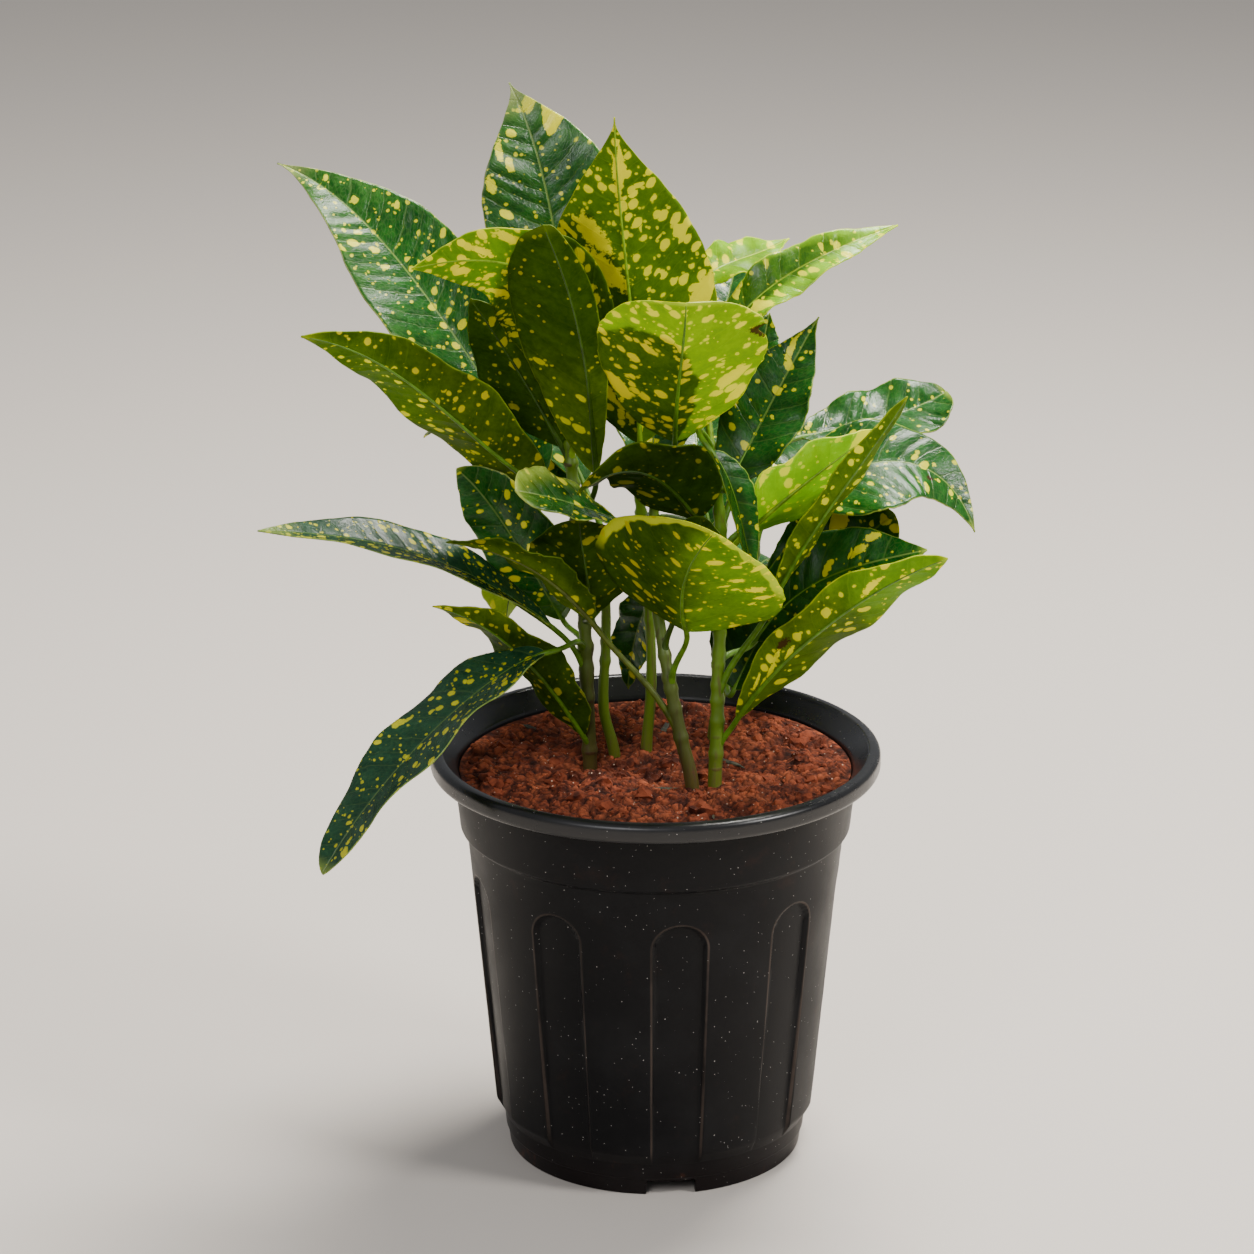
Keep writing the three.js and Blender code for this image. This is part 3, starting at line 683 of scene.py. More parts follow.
def makePatterns(look):
    # lumps that differ in shape and have a size of about 1
    patterns = []
    for k in range(soil["patterns"]):
        bpy.ops.mesh.primitive_ico_sphere_add(subdivisions=look["rounds"], radius=1)
        lump = bpy.context.object
        for vertex in lump.data.vertices:
            push = 1 + 0.6 * noise.noise(vertex.co * 1.4 + Vector((k * 5.1, 0, 0)))
            push += 0.3 * noise.noise(vertex.co * 3.1)
            vertex.co = Vector([c * push * f for c, f in zip(vertex.co, look["shape"])])
        patterns.append(lump)
    return patterns


def makeBits(kind, clay):
    # each bit is a copy of a pattern with its own place, size and turn
    look = looseBits[kind]
    least, greatest = look["sizes"]
    tilt = look["tilt"]
    draw = random.Random(soil["seed"] + len(kind))
    patterns = makePatterns(look)
    rim = innerRadius(soil["top"]) - 1 - greatest
    copies = []
    for k in range(look["count"]):
        x, y = 99.0, 0.0
        while math.hypot(x, y) > rim:
            x, y = draw.uniform(-rim, rim), draw.uniform(-rim, rim)
            if "near" in look:
                x, y = [draw.gauss(c, look["spread"]) for c in draw.choice(look["near"])]
        size = least + (greatest - least) * draw.random() ** 1.6
        lump = patterns[k % len(patterns)]
        copy = lump.copy()
        copy.data = lump.data.copy()
        bpy.context.collection.objects.link(copy)
        z = soilHeight(x, y) + lumps(x, y)[0] * smoothStep(rim - math.hypot(x, y), -3, 2)
        z -= size * soil["sunk"] * look["shape"][2]
        copy.location = (potAxis + Vector((x, y, z))) * mm
        copy.rotation_euler = (draw.uniform(-tilt, tilt), draw.uniform(-tilt, tilt), draw.uniform(0, 6.28))
        copy.scale = (size * mm, size * mm, size * mm)
        copies.append(copy)
    for lump in patterns:
        bpy.data.objects.remove(lump)
    pick(*copies)
    bpy.ops.object.join()
    bpy.ops.object.transform_apply(location=True, rotation=True, scale=True)
    piece = bpy.context.object
    if look["rounds"] > 1:
        bpy.ops.object.shade_smooth_by_angle(angle=math.radians(32))
    piece.name = "soil" + kind.capitalize()
    finishPiece(piece, "soil", "soil", clay)


def dryBits():
    material, shader = newMaterial("dryLitter")
    streak = cloud(objectPlace(), 300, 3)["Fac"]
    colour = blendColour(ramp(streak, 0.35, 0.65), soil["dryDark"], soil["dryLight"])
    feed(shader.inputs, {"Base Color": colour, "Roughness": 0.8})
    return material


finishPiece(makeSoil(), "soil", "soil", soilClay("redClay", 0.0))
for kind, clay in (
    # clods and boulders take darker clay: partly their own colour, partly a painted shade for their shadowed
    # sides
    ("clods", soilClay("clodClay", -0.12, 0.85)),
    ("boulders", soilClay("boulderClay", -0.26, 0.42)),
    ("crumbs", soilClay("looseClay", 0.02)),
    ("flakes", soilClay("paleChips", 0.3)),
    ("litter", dryBits()),
):
    makeBits(kind, clay)
print("soil made")


# Stems: points on the centre line from the soil up, in millimetres from the pot's axis

stems = {
    "left": {
        "foot": 3.4, "top": 2.4, "bark": "brown",
        "path": [(-29, 0, 178), (-30, 0, 205), (-31, 1, 240), (-33, 2, 274), (-36, 3, 306), (-38, 5, 330)],
    },
    "left_green": {
        "foot": 2.8, "top": 1.9, "bark": "green",
        "path": [(-18, 13, 178), (-23, 13, 201), (-22, 14, 230), (-22, 15, 256), (-23, 16, 282)],
    },
    "middle_back": {
        "foot": 2.8, "top": 2, "bark": "green",
        "path": [(-4, 19, 178), (-2, 19, 205), (-2, 19, 230), (-5, 18, 269), (-8, 16, 314)],
    },
    "middle_front": {
        "foot": 3.2, "top": 2.2, "bark": "brown",
        "path": [
            (16, -23, 178), (11, -22, 200), (6, -20, 225), (3, -15, 241), (0, -8, 262), (-1, 0, 293),
            (2, 3, 322),
        ],
    },
    "right": {
        "foot": 3.3, "top": 2.2, "bark": "green",
        "path": [
            (26, -22, 178), (27, -20, 205), (27, -18, 223), (28, -15, 249), (29, -8, 277), (26, 0, 311),
            (23, 3, 330),
        ],
    },
    "right_back": {
        "foot": 2.8, "top": 1.9, "bark": "green",
        "path": [(26, 35, 178), (30, 34, 202), (37, 32, 227), (42, 30, 251), (45, 28, 274)],
    },
}
stemShape = {
    "start": 140,
    "swell": 0.55,
    "swellReach": 1.7,
    "scarDrop": 9,
    "scarsAbove": 205,
    "uneven": 0.16,
}

bark = {
    "green": {"low": (0.10, 0.17, 0.010, 1), "high": (0.12, 0.23, 0.008, 1), "scar": (0.10, 0.075, 0.02, 1)},
    "brown": {"low": (0.06, 0.07, 0.012, 1), "high": (0.085, 0.15, 0.01, 1), "scar": (0.045, 0.024, 0.01, 1)},
}


def smoothCurve(points, steps):
    # a centripetal spline, the same as the solids follow
    ends = [points[0] * 2 - points[1]] + list(points) + [points[-1] * 2 - points[-2]]
    spans = len(points) - 1
    line = []
    for i in range(steps + 1):
        share = i / steps * spans
        k = min(int(share), spans - 1)
        t = share - k
        p0, p1, p2, p3 = ends[k:k + 4]
        d0, d1, d2 = [max((b - a).length, 1e-4) ** 0.5 for a, b in ((p0, p1), (p1, p2), (p2, p3))]
        m1 = ((p1 - p0) / d0 - (p2 - p0) / (d0 + d1) + (p2 - p1) / d1) * d1
        m2 = ((p2 - p1) / d1 - (p3 - p1) / (d1 + d2) + (p3 - p2) / d2) * d1
        line.append(p1 * (2 * t ** 3 - 3 * t ** 2 + 1) + m1 * (t ** 3 - 2 * t ** 2 + t)
                    + p2 * (3 * t ** 2 - 2 * t ** 3) + m2 * (t ** 3 - t ** 2))
    return line


def stemLine(name, steps=120):
    points = [Vector(p) for p in stems[name]["path"]]
    foot = points[0].copy()
    foot.z = stemShape["start"]
    return smoothCurve([foot] + points, steps)


def stemSeat(name, height):
    line = stemLine(name, 400)
    k = min(range(1, len(line) - 1), key=lambda i: abs(line[i].z - height))
    return line[k], (line[k + 1] - line[k - 1]).normalized()


def roundBar(name, line, radii, sides=3):
    # a curve with a round bevel, turned into a mesh
    data = bpy.data.curves.new(name, "CURVE")
    data.dimensions = "3D"
    data.bevel_depth = 1.0
    data.bevel_resolution = sides
    data.use_fill_caps = True
    spline = data.splines.new("POLY")
    spline.points.add(len(line) - 1)
    for point, place, radius in zip(spline.points, line, radii):
        point.co = (*((place + potAxis) * mm), 1)
        point.radius = radius * mm
    piece = bpy.data.objects.new(name, data)
    bpy.context.collection.objects.link(piece)
    pick(piece)
    bpy.ops.object.convert(target="MESH")
    bpy.ops.object.shade_smooth()
    return bpy.context.object


def barkMaterial(kind):
    look = bark[kind]
    material, shader = newMaterial(kind + "Bark")
    place = objectPlace()
    height = split(place)[2]
    streak = cloud(shift(place, (420, 420, 45), "MULTIPLY"), 1.0, 4, 0.6)["Fac"]
    band = cells(shift(place, (90, 90, 260), "MULTIPLY"), 1.0)
    fleck = times(ramp(split(band["Color"])[0], 0.8, 0.84), ramp(band["Distance"], 0.3, 0.18))
    dust = placeGroup(dustGroup, {"Place": place, "Scale": 420, "Amount": 0.2, "Size": 0.2})
    soiled = times(ramp(height, 0.20, 0.178), ramp(dust["Smears"], 0.0, 1.0, 0.3, 1.0))
    colour = blendColour(ramp(height, 0.19, 0.29), look["low"], look["high"])
    colour = blendColour(ramp(streak, 0.5, 0.72, 0.0, 0.75), colour, look["scar"])
    colour = blendColour(times(fleck, 0.8), colour, look["scar"])
    colour = blendColour(soiled, colour, pot["clayColour"])
    relief = plus(streak, times(fleck, 0.6))
    paint(shader, colour, ramp(streak, 0.3, 0.7, 0.36, 0.6), 0.3, bump(relief, 0.35, 0.0006))
    return material


# Leaves: each hangs on a stem at a height, and its midrib runs through four evenly spaced points. face is the
# way that the glossy upper side looks, and width is the blade's widest, in millimetres.
# Shape: baseFullness and tipTaper bend the outline, neck slims its end, lean widens the right half, fold is
# how steeply the halves rise in degrees, and wave, teeth, quilt and curl are the heights of the margin's
# waves and teeth, of the swell between the veins and of a turned-down rim. nick is a place, a side, a depth
# and a reach.
# Skin: the inner look fills an oval (place along and across, reach along and across) with a soft edge, and
# the outer look lies round it; on most leaves the two are a shaded and a lit copy of one green, so the oval
# is painted shade and painted light. dots, spots and blotches are the shares of cells with one in it, and
# least is the smallest spot. rim is the pale margin in centimetres, and tip is where the pale tip starts, the
# leaf's own cream tip on some leaves and a painted sheen on the glossy ones. wounds are brown ovals and
# patches are yellow ones.

usualLeaf = {
    "baseFullness": 0.75, "tipTaper": 0.95, "neck": 0, "lean": 0, "fold": 12, "wave": 2, "slot": "dark",
    "inner": "deep", "outer": "deep", "oval": (0.5, 0.0, 9.0, 9.0), "soft": 0.25, "dots": 0.4, "spots": 0.42,
    "blotches": 0.05, "spotSize": 1.0, "least": 0.15, "stretch": 1.3, "teeth": 0.35, "quilt": 1.0, "curl": 0,
    "rim": 0.03, "tip": 0.95, "nick": None, "wounds": [], "patches": [], "gloss": 0.5, "stalk": "green",
}


def leafOn(stem, at, rib, face, width, **others):
    rib = [Vector(point) for point in rib]
    return {**usualLeaf, "stem": stem, "at": at, "rib": rib, "face": Vector(face), "width": width, **others}


leaves = {
    "left_high": leafOn("left", 300, [(-48, 12, 311), (-86, 25, 366), (-124, 42, 412), (-166, 60, 438)],
        (0.45, -0.75, 0.45), 62, tipTaper=1.2, neck=0.6, wave=2.5, outer="paintedSheen", oval=(0.28, 0.3, 0.52, 1.3),
        soft=0.4, dots=0.42, spots=0.34, blotches=0.03, spotSize=0.9, quilt=2.1, tip=0.88, gloss=0.26),
    "left_middle": leafOn("left", 292, [(-47, 2, 306), (-79, -12, 335), (-111, -28, 367), (-150, -45, 388)],
        (0.3, 0.8, 0.3), 44, fold=14, slot="olive", inner="mid", outer="olive", oval=(0.3, -1.0, 0.7, 1.1),
        dots=0.5, spots=0.45, blotches=0.03, spotSize=0.9, stretch=1.1, quilt=0.9, tip=0.93),
    "back_top": leafOn("left", 326, [(-33, 30, 357), (-42, 40, 399), (-50, 50, 437), (-64, 60, 474)],
        (0.1, -0.9, 0.35), 62, baseFullness=1.1, neck=0.9, outer="paintedSheen", oval=(0.3, 0.1, 0.5, 1.3), soft=0.4,
        dots=0.5, spots=0.4, blotches=0.06, spotSize=0.95, quilt=2.2, tip=0.86,
        patches=[(0.78, -0.82, 0.032, 0.13), (0.72, -0.55, 0.026, 0.09), (0.66, -0.88, 0.028, 0.11)]),
    "top_gold": leafOn("middle_back", 306, [(-7, 8, 325), (-10, 6, 377), (-15, 8, 425), (-18, 14, 469)],
        (0.05, 0.95, 0.1), 75, baseFullness=0.8, tipTaper=1.1, neck=1, fold=8, slot="gold", inner="shade",
        outer="lime", oval=(0.28, 0.75, 0.42, 0.80), soft=0.12, dots=0.9, spots=1.0, blotches=0.12,
        least=0.34, stretch=1.05, quilt=0.3,
        patches=[
            (0.63, 0.42, 0.040, 0.27), (0.52, 0.27, 0.040, 0.29), (0.83, -0.1, 0.06, 0.26),
            (0.43, -0.86, 0.035, 0.17), (0.26, 0.6, 0.035, 0.14), (0.16, 0.55, 0.035, 0.14)
        ], stalk="lime"),
    "front_dark": leafOn("left", 284, [(-26, -8, 316), (-29, -20, 357), (-35, -31, 395), (-48, -36, 434)],
        (0.2, 0.9, 0.2), 40, baseFullness=0.7, tipTaper=0.4, lean=0.5, wave=1, slot="olive", inner="shade",
        outer="olive", oval=(1.0, 0.0, 0.62, 2.5), dots=0.3, spots=0.2, stretch=1.4, quilt=0.8, stalk="dark"),
    "left_arch": leafOn("left", 318, [(-32, -6, 339), (-41, -13, 396), (-71, -18, 414), (-104, -24, 412)],
        (-0.2, 0.8, 0.5), 54, tipTaper=1.1, lean=0.2, slot="gold", inner="shade", outer="gold",
        oval=(0.1, 0.0, 0.48, 3.0), soft=0.1, dots=0.7, spots=1.0, blotches=0.12, spotSize=0.9, least=0.28,
        stretch=1.2, quilt=0.3, patches=[(0.62, -0.72, 0.035, 0.22), (0.70, -0.3, 0.03, 0.2)], stalk="lime"),
    "left_shade": leafOn("left", 308, [(-41, 4, 325), (-54, 2, 350), (-67, 2, 372), (-80, 2, 392)],
        (0.2, 0.8, 0.2), 42, slot="olive", inner="shade", outer="shade", spots=0.3, stalk="dark"),
    "front_broad": leafOn("middle_front", 312, [(8, -18, 334), (9, -36, 361), (11, -50, 386), (12, -58, 406)],
        (0, 0.8, 0.5), 73, baseFullness=0.62, tipTaper=0.35, fold=10, slot="gold", inner="mid", outer="lit",
        oval=(0.2, 0.55, 0.52, 0.85), soft=0.04, dots=0.65, spots=0.75, blotches=0.12, spotSize=0.9,
        least=0.24, stretch=1.5, quilt=0.8, nick=(0.72, -1, 4.0, 0.03), wounds=[(0.72, -1.0, 0.045, 0.13)]),
    "back_pale": leafOn("middle_back", 300, [(16, 30, 390), (30, 40, 397), (43, 51, 399), (59, 64, 403)],
        (-0.2, -0.6, 0.7), 24, neck=0.4, slot="gold", inner="lit", outer="bright", oval=(0.4, 0.2, 0.4, 0.8),
        spots=0.6, blotches=0.2, quilt=0.4, gloss=0.1, stalk="lime"),
    "right_high": leafOn("right", 326, [(27, 18, 366), (46, 24, 388), (72, 32, 403), (106, 48, 413)],
        (-0.2, -0.6, 0.7), 25, slot="olive", inner="olive", outer="bright", oval=(0.3, -0.3, 0.5, 0.7),
        dots=0.5, spots=0.6, blotches=0.25, stretch=1.5, stalk="lime"),
    "back_slim": leafOn("right", 318, [(42, 24, 331), (45, 28, 348), (47, 32, 362), (50, 38, 376)],
        (0, -0.9, 0.4), 20),
    "right_dark": leafOn("right", 306, [(31, -8, 310), (44, 2, 333), (56, 11, 354), (71, 24, 378)],
        (-0.3, -0.8, 0.4), 38, neck=0.7, outer="shade", oval=(0.6, 0.3, 0.4, 1.2), dots=0.35, spots=0.3,
        blotches=0.04, quilt=0.8, patches=[(0.82, -0.45, 0.04, 0.38)], gloss=0.3),
    "right_gloss": leafOn("right", 290, [(64, 35, 320), (84, 44, 322), (108, 52, 326), (130, 60, 334)],
        (0, -0.45, 0.9), 40, tipTaper=0.5, lean=0.12, dots=0.45, spots=0.24, blotches=0.0, quilt=2.5),
    "right_hanging": leafOn("right", 280, [(63, 3, 301), (89, 10, 314), (118, 14, 312), (140, 7, 285)],
        (0.2, -0.5, 0.85), 54, tipTaper=1.2, lean=0.2, wave=1.2, dots=0.5, spots=0.34, blotches=0.0,
        quilt=2.4, wounds=[(0.7, 0.25, 0.02, 0.07)], gloss=0.42),
    "right_bright": leafOn("right", 268, [(39, -25, 295), (57, -26, 312), (76, -25, 327), (95, -21, 340)],
        (0, 0.6, 0.7), 48, lean=-0.2, slot="gold", inner="gold", outer="bright", oval=(0.0, -0.9, 0.42, 0.7),
        dots=0.5, spots=0.6, blotches=0.08, quilt=0.6, stalk="lime"),
    "right_edge": leafOn("right", 216, [(51, -28, 265), (66, -36, 297), (87, -41, 331), (106, -46, 362)],
        (-0.6, 0.7, 0.4), 20, tipTaper=0.8, wave=1, slot="olive", inner="olive", outer="olive", spots=0.55,
        blotches=0.1, stretch=1.2),
    "right_low": leafOn("right", 192, [(35, -24, 208), (58, -38, 243), (90, -48, 273), (124, -55, 293)],
        (-0.1, 0.7, 0.6), 39, baseFullness=1, tipTaper=0.8, lean=-0.15, slot="olive", inner="olive",
        outer="gold", oval=(0.2, 0.0, 0.42, 2.0), soft=0.12, dots=0.35, spots=0.45, blotches=0.04, quilt=0.7,
        wounds=[(0.36, 0.5, 0.03, 0.13)],
        patches=[
            (0.34, 0.1, 0.024, 0.13), (0.31, 0.38, 0.022, 0.12), (0.25, 0.15, 0.024, 0.14),
            (0.19, 0.38, 0.024, 0.14), (0.19, 0.05, 0.022, 0.12), (0.71, 0.3, 0.030, 0.2)
        ]),
    "right_under": leafOn("right", 232, [(44, -5, 239), (65, -8, 263), (89, -10, 275), (118, -12, 283)],
        (-0.1, -0.6, 0.7), 44, inner="shade", oval=(0.2, 0.0, 0.5, 2.0), spots=0.25,
        patches=[(0.76, -0.75, 0.032, 0.17), (0.68, -0.4, 0.032, 0.16), (0.5, -0.2, 0.028, 0.14)],
        gloss=0.12),
    "centre_fold": leafOn("middle_front", 222,
        [(13, -40, 255), (11, -57, 275), (14, -73, 295), (24, -88, 315)], (0.32, 0.6, 0.75), 86,
        baseFullness=0.6, tipTaper=0.8, wave=1, slot="gold", inner="shade", outer="gold",
        oval=(0.35, 0.95, 0.75, 0.95), soft=0.35, dots=0.5, spots=0.6, blotches=0.02, spotSize=0.9,
        stretch=1.8, quilt=0.6, curl=-3.0, rim=0.9,
        patches=[(0.55, -0.72, 0.03, 0.12), (0.46, -0.8, 0.025, 0.1), (0.62, -0.55, 0.02, 0.1)]),
    "centre_low": leafOn("middle_front", 236, [(8, -23, 256), (12, -25, 273), (16, -26, 289), (20, -27, 303)],
        (0, 0.9, 0.2), 34, tipTaper=0.8, wave=1, inner="shade", outer="shade", spots=0.3, stalk="dark"),
    "centre_light": leafOn("middle_front", 280,
        [(-17, -20, 299), (-31, -34, 309), (-45, -46, 317), (-60, -55, 323)], (0, -0.45, 0.9), 34,
        tipTaper=0.45, wave=1, outer="pale", oval=(0.3, -0.6, 0.74, 1.5), soft=0.3, dots=0.5, blotches=0.04,
        quilt=1.4),
    "centre_dark": leafOn("middle_front", 292,
        [(18, -10, 296), (5, -22, 315), (-12, -32, 325), (-34, -44, 318)], (0, 0.6, 0.7), 54, inner="shade",
        outer="shade", dots=0.5, spots=0.36, blotches=0.0, stretch=1.6, stalk="dark"),
    "centre_hanging": leafOn("right", 322, [(23, -38, 336), (32, -42, 320), (37, -43, 301), (42, -43, 281)],
        (0.8, -0.5, 0.3), 22, fold=20, wave=0, inner="shade", oval=(0.4, 0.4, 0.9, 0.9), gloss=0.25),
    "left_long": leafOn("left", 220, [(-45, -6, 245), (-87, -14, 275), (-129, -20, 290), (-172, -26, 296)],
        (0, -0.12, 1), 38, wave=0.8, inner="blue", outer="blue", dots=0.7, spots=0.66, blotches=0.02,
        spotSize=0.82, stretch=1.0, quilt=0.4, tip=0.84),
    "left_toothed": leafOn("middle_front", 200,
        [(-28, -24, 254), (-45, -32, 275), (-66, -38, 289), (-90, -42, 296)], (0, 0.4, 0.9), 34,
        tipTaper=0.75, wave=1.5, slot="olive", inner="olive", outer="shade", oval=(0.5, 0.5, 0.6, 1.0),
        spots=0.34, teeth=1.1, stalk="red"),
    "left_low": leafOn("left", 186, [(-32, -4, 194), (-49, -12, 223), (-71, -18, 247), (-97, -24, 261)],
        (0.2, 0.6, 0.7), 34, slot="olive", inner="shade", outer="olive", oval=(0.3, 0.0, 0.4, 2.0),
        spots=0.36, blotches=0.1, teeth=0.7),
    "left_drooping": leafOn("left", 232,
        [(-48, -28, 241), (-76, -36, 227), (-112, -52, 196), (-144, -72, 155)], (-0.4, -0.25, 0.85), 42,
        tipTaper=0.65, inner="blue", outer="blue", dots=0.6, spots=0.6, blotches=0.04, spotSize=0.85,
        stretch=1.05, quilt=0.4),
    "left_inner": leafOn("left", 234, [(-41, 14, 242), (-56, 10, 270), (-71, 6, 296), (-87, 4, 315)],
        (-0.5, -0.7, 0.4), 42, tipTaper=0.8, lean=0.3, fold=20, outer="olive", oval=(0.6, 0.0, 0.5, 2.0),
        dots=0.45, spots=0.4, blotches=0.08),
    "left_rear": leafOn("left_green", 262, [(-42, 34, 275), (-56, 42, 265), (-64, 46, 249), (-67, 44, 232)],
        (-0.5, 0.5, 0.6), 32, tipTaper=0.5, slot="gold", inner="pale", outer="gold",
        oval=(0.7, 0.0, 0.6, 2.0), spots=0.6, blotches=0.4, spotSize=1.2),
    "centre_shade": leafOn("left", 244, [(-29, -10, 252), (-30, -20, 272), (-32, -26, 288), (-33, -30, 302)],
        (0, 0.75, 0.6), 50, tipTaper=0.7, slot="olive", inner="shade", outer="shade", spots=0.25, stretch=1.7,
        stalk="dark"),
    "right_rear": leafOn("right", 246, [(48, 10, 253), (68, 12, 265), (86, 14, 276), (105, 16, 291)],
        (-0.2, -0.8, 0.5), 50, tipTaper=0.6, inner="shade", outer="shade", spots=0.3, blotches=0.03,
        gloss=0.15),
    "right_inner": leafOn("right_back", 204, [(35, 12, 210), (41, 16, 222), (48, 18, 235), (57, 20, 250)],
        (-0.4, -0.8, 0.3), 40, inner="shade", oval=(0.3, 0.0, 0.4, 2.0), spots=0.2, blotches=0.06,
        gloss=0.15),
    "rear_hanging": leafOn("middle_back", 250, [(0, 30, 253), (-6, 40, 234), (-10, 46, 217), (-12, 50, 197)],
        (-0.4, -0.6, 0.3), 24),
    "rear_high_left": leafOn("left_green", 278,
        [(-32, 32, 300), (-46, 55, 330), (-60, 80, 358), (-72, 106, 376)], (0.3, -0.7, 0.6), 46),
    "rear_middle": leafOn("middle_back", 290, [(-2, 32, 304), (0, 62, 330), (0, 94, 348), (-2, 128, 352)],
        (0, -0.6, 0.8), 48),
    "rear_right": leafOn("right_back", 268, [(48, 36, 280), (60, 56, 296), (71, 77, 305), (81, 98, 308)],
        (-0.4, -0.5, 0.8), 40),
    "rear_droop_left": leafOn("left_green", 232,
        [(-28, 32, 236), (-36, 62, 248), (-44, 94, 242), (-50, 122, 216)], (-0.2, 0.2, 0.9), 42),
    "rear_droop_right": leafOn("right_back", 236,
        [(40, 46, 244), (50, 74, 250), (59, 101, 237), (67, 126, 208)], (0.2, 0.2, 0.9), 42),
    "rear_low": leafOn("right_back", 222, [(20, 46, 246), (14, 72, 264), (11, 99, 262), (12, 126, 240)],
        (0, 0.2, 0.95), 40),
    "rear_crown": leafOn("right", 322, [(20, 22, 334), (27, 48, 358), (33, 73, 376), (38, 97, 388)],
        (-0.2, -0.6, 0.7), 42),
    "rear_left": leafOn("left_green", 270, [(-38, 24, 290), (-60, 40, 310), (-83, 58, 318), (-104, 76, 308)],
        (0.2, -0.3, 0.9), 40),
    "rear_centre": leafOn("right_back", 256, [(24, 44, 276), (20, 68, 298), (18, 94, 310), (18, 120, 308)],
        (0, -0.4, 0.9), 40),
}

blade = {
    "across": 24,
    "along": 112,
    "lengthSteps": 200,
    "thickness": 0.55,
    "tipHalfWidth": 0.35,
    "neckLength": 0.11,
    "waves": 3,
    "glowShare": 0.4,
    "rightWaveShift": 1.9,
    "veinSpacing": 9.6,
    "veinSlope": 0.5,
    "veinBend": 0.009,
    "veinStart": 0.37,
    "veinStagger": 0.45,
    "veinUneven": 0.2,
    "quilt": 0.42,
    "uneven": 0.8,
    "ribBase": 1.25,
    "ribTip": 0.25,
    "stalkFoot": 1.9,
    "stalkBend": 0.4,
}

# Looks: the blade's greens, its glow with light behind it, and its spots, margin and veins

# several looks are one green at another brightness: shade and mid are painted shade, lit and bright are
# painted light
lookParts = ("upperDark", "upperLight", "underDark", "underLight", "glow", "spot", "margin", "rib")
looks = {
    "deep": (
        (0.004, 0.062, 0.006), (0.018, 0.15, 0.014), (0.02, 0.062, 0.003), (0.06, 0.14, 0.006),
        (0.04, 0.18, 0.004), (0.9, 0.84, 0.004), (0.4, 0.52, 0.06), (0.22, 0.36, 0.07)),
    # painted sheen: a paler, greyer green that stands in for the gloss on the upper side
    "paintedSheen": (
        (0.012, 0.09, 0.009), (0.06, 0.2, 0.024), (0.02, 0.062, 0.003), (0.06, 0.14, 0.006),
        (0.06, 0.2, 0.01), (0.92, 0.88, 0.03), (0.56, 0.66, 0.2), (0.3, 0.44, 0.16)),
    # a blue-green: the leaves' own green with a painted sky reflection over it
    "blue": (
        (0.01, 0.056, 0.024), (0.026, 0.11, 0.046), (0.02, 0.062, 0.006), (0.06, 0.14, 0.012),
        (0.04, 0.14, 0.01), (0.8, 0.76, 0.01), (0.34, 0.46, 0.08), (0.14, 0.26, 0.06)),
    "mid": (
        (0.016, 0.075, 0.002), (0.045, 0.14, 0.004), (0.036, 0.084, 0.0), (0.095, 0.165, 0.001),
        (0.11, 0.23, 0.0), (0.7, 0.62, 0.0), (0.26, 0.36, 0.01), (0.15, 0.25, 0.01)),
    "shade": (
        (0.005, 0.04, 0.003), (0.014, 0.08, 0.006), (0.02, 0.056, 0.0), (0.056, 0.118, 0.001),
        (0.06, 0.13, 0.0), (0.5, 0.46, 0.0), (0.15, 0.23, 0.004), (0.08, 0.15, 0.003)),
    "olive": (
        (0.022, 0.095, 0.002), (0.06, 0.18, 0.004), (0.056, 0.115, 0.0), (0.13, 0.215, 0.001),
        (0.16, 0.32, 0.0), (0.84, 0.8, 0.0), (0.42, 0.52, 0.01), (0.24, 0.36, 0.01)),
    "gold": (
        (0.06, 0.16, 0.001), (0.14, 0.28, 0.001), (0.09, 0.19, 0.0), (0.18, 0.31, 0.0), (0.3, 0.56, 0.0),
        (0.88, 0.8, 0.0), (0.66, 0.72, 0.01), (0.34, 0.46, 0.01)),
    "lime": (
        (0.045, 0.13, 0.001), (0.11, 0.24, 0.001), (0.056, 0.125, 0.0), (0.12, 0.22, 0.0), (0.19, 0.37, 0.0),
        (0.9, 0.82, 0.0), (0.62, 0.66, 0.01), (0.26, 0.38, 0.01)),
    "lit": (
        (0.1, 0.24, 0.001), (0.2, 0.4, 0.001), (0.15, 0.27, 0.0), (0.28, 0.43, 0.0), (0.46, 0.7, 0.0),
        (0.9, 0.84, 0.0), (0.72, 0.78, 0.02), (0.4, 0.54, 0.01)),
    "bright": (
        (0.16, 0.36, 0.001), (0.28, 0.54, 0.002), (0.22, 0.43, 0.0), (0.36, 0.61, 0.001), (0.55, 0.9, 0.0),
        (0.96, 0.94, 0.004), (0.8, 0.86, 0.03), (0.46, 0.64, 0.02)),
    "pale": (
        (0.28, 0.4, 0.03), (0.48, 0.6, 0.09), (0.3, 0.42, 0.02), (0.5, 0.62, 0.06), (0.6, 0.8, 0.02),
        (0.92, 0.9, 0.08), (0.84, 0.86, 0.22), (0.6, 0.7, 0.2)),
}
looks = {name: {part: (*colour, 1) for part, colour in zip(lookParts, row)} for name, row in looks.items()}
stalkColour = {
    "green": (0.10, 0.22, 0.008, 1),
    # dark is the stalk green darkened for leaves in shade, a painted shade
    "dark": (0.040, 0.090, 0.004, 1),
    "lime": (0.24, 0.40, 0.008, 1),
    "red": (0.085, 0.115, 0.008, 1),
}
wound = (0.060, 0.018, 0.007, 1)


def ribPoint(rib, t):
    # the smooth cubic through four evenly spaced points
    a, b, c = t - 1 / 3, t - 2 / 3, t - 1
    weights = (-4.5 * a * b * c, 13.5 * t * b * c, -13.5 * t * a * c, 4.5 * t * a * b)
    return rib[0] * weights[0] + rib[1] * weights[1] + rib[2] * weights[2] + rib[3] * weights[3]


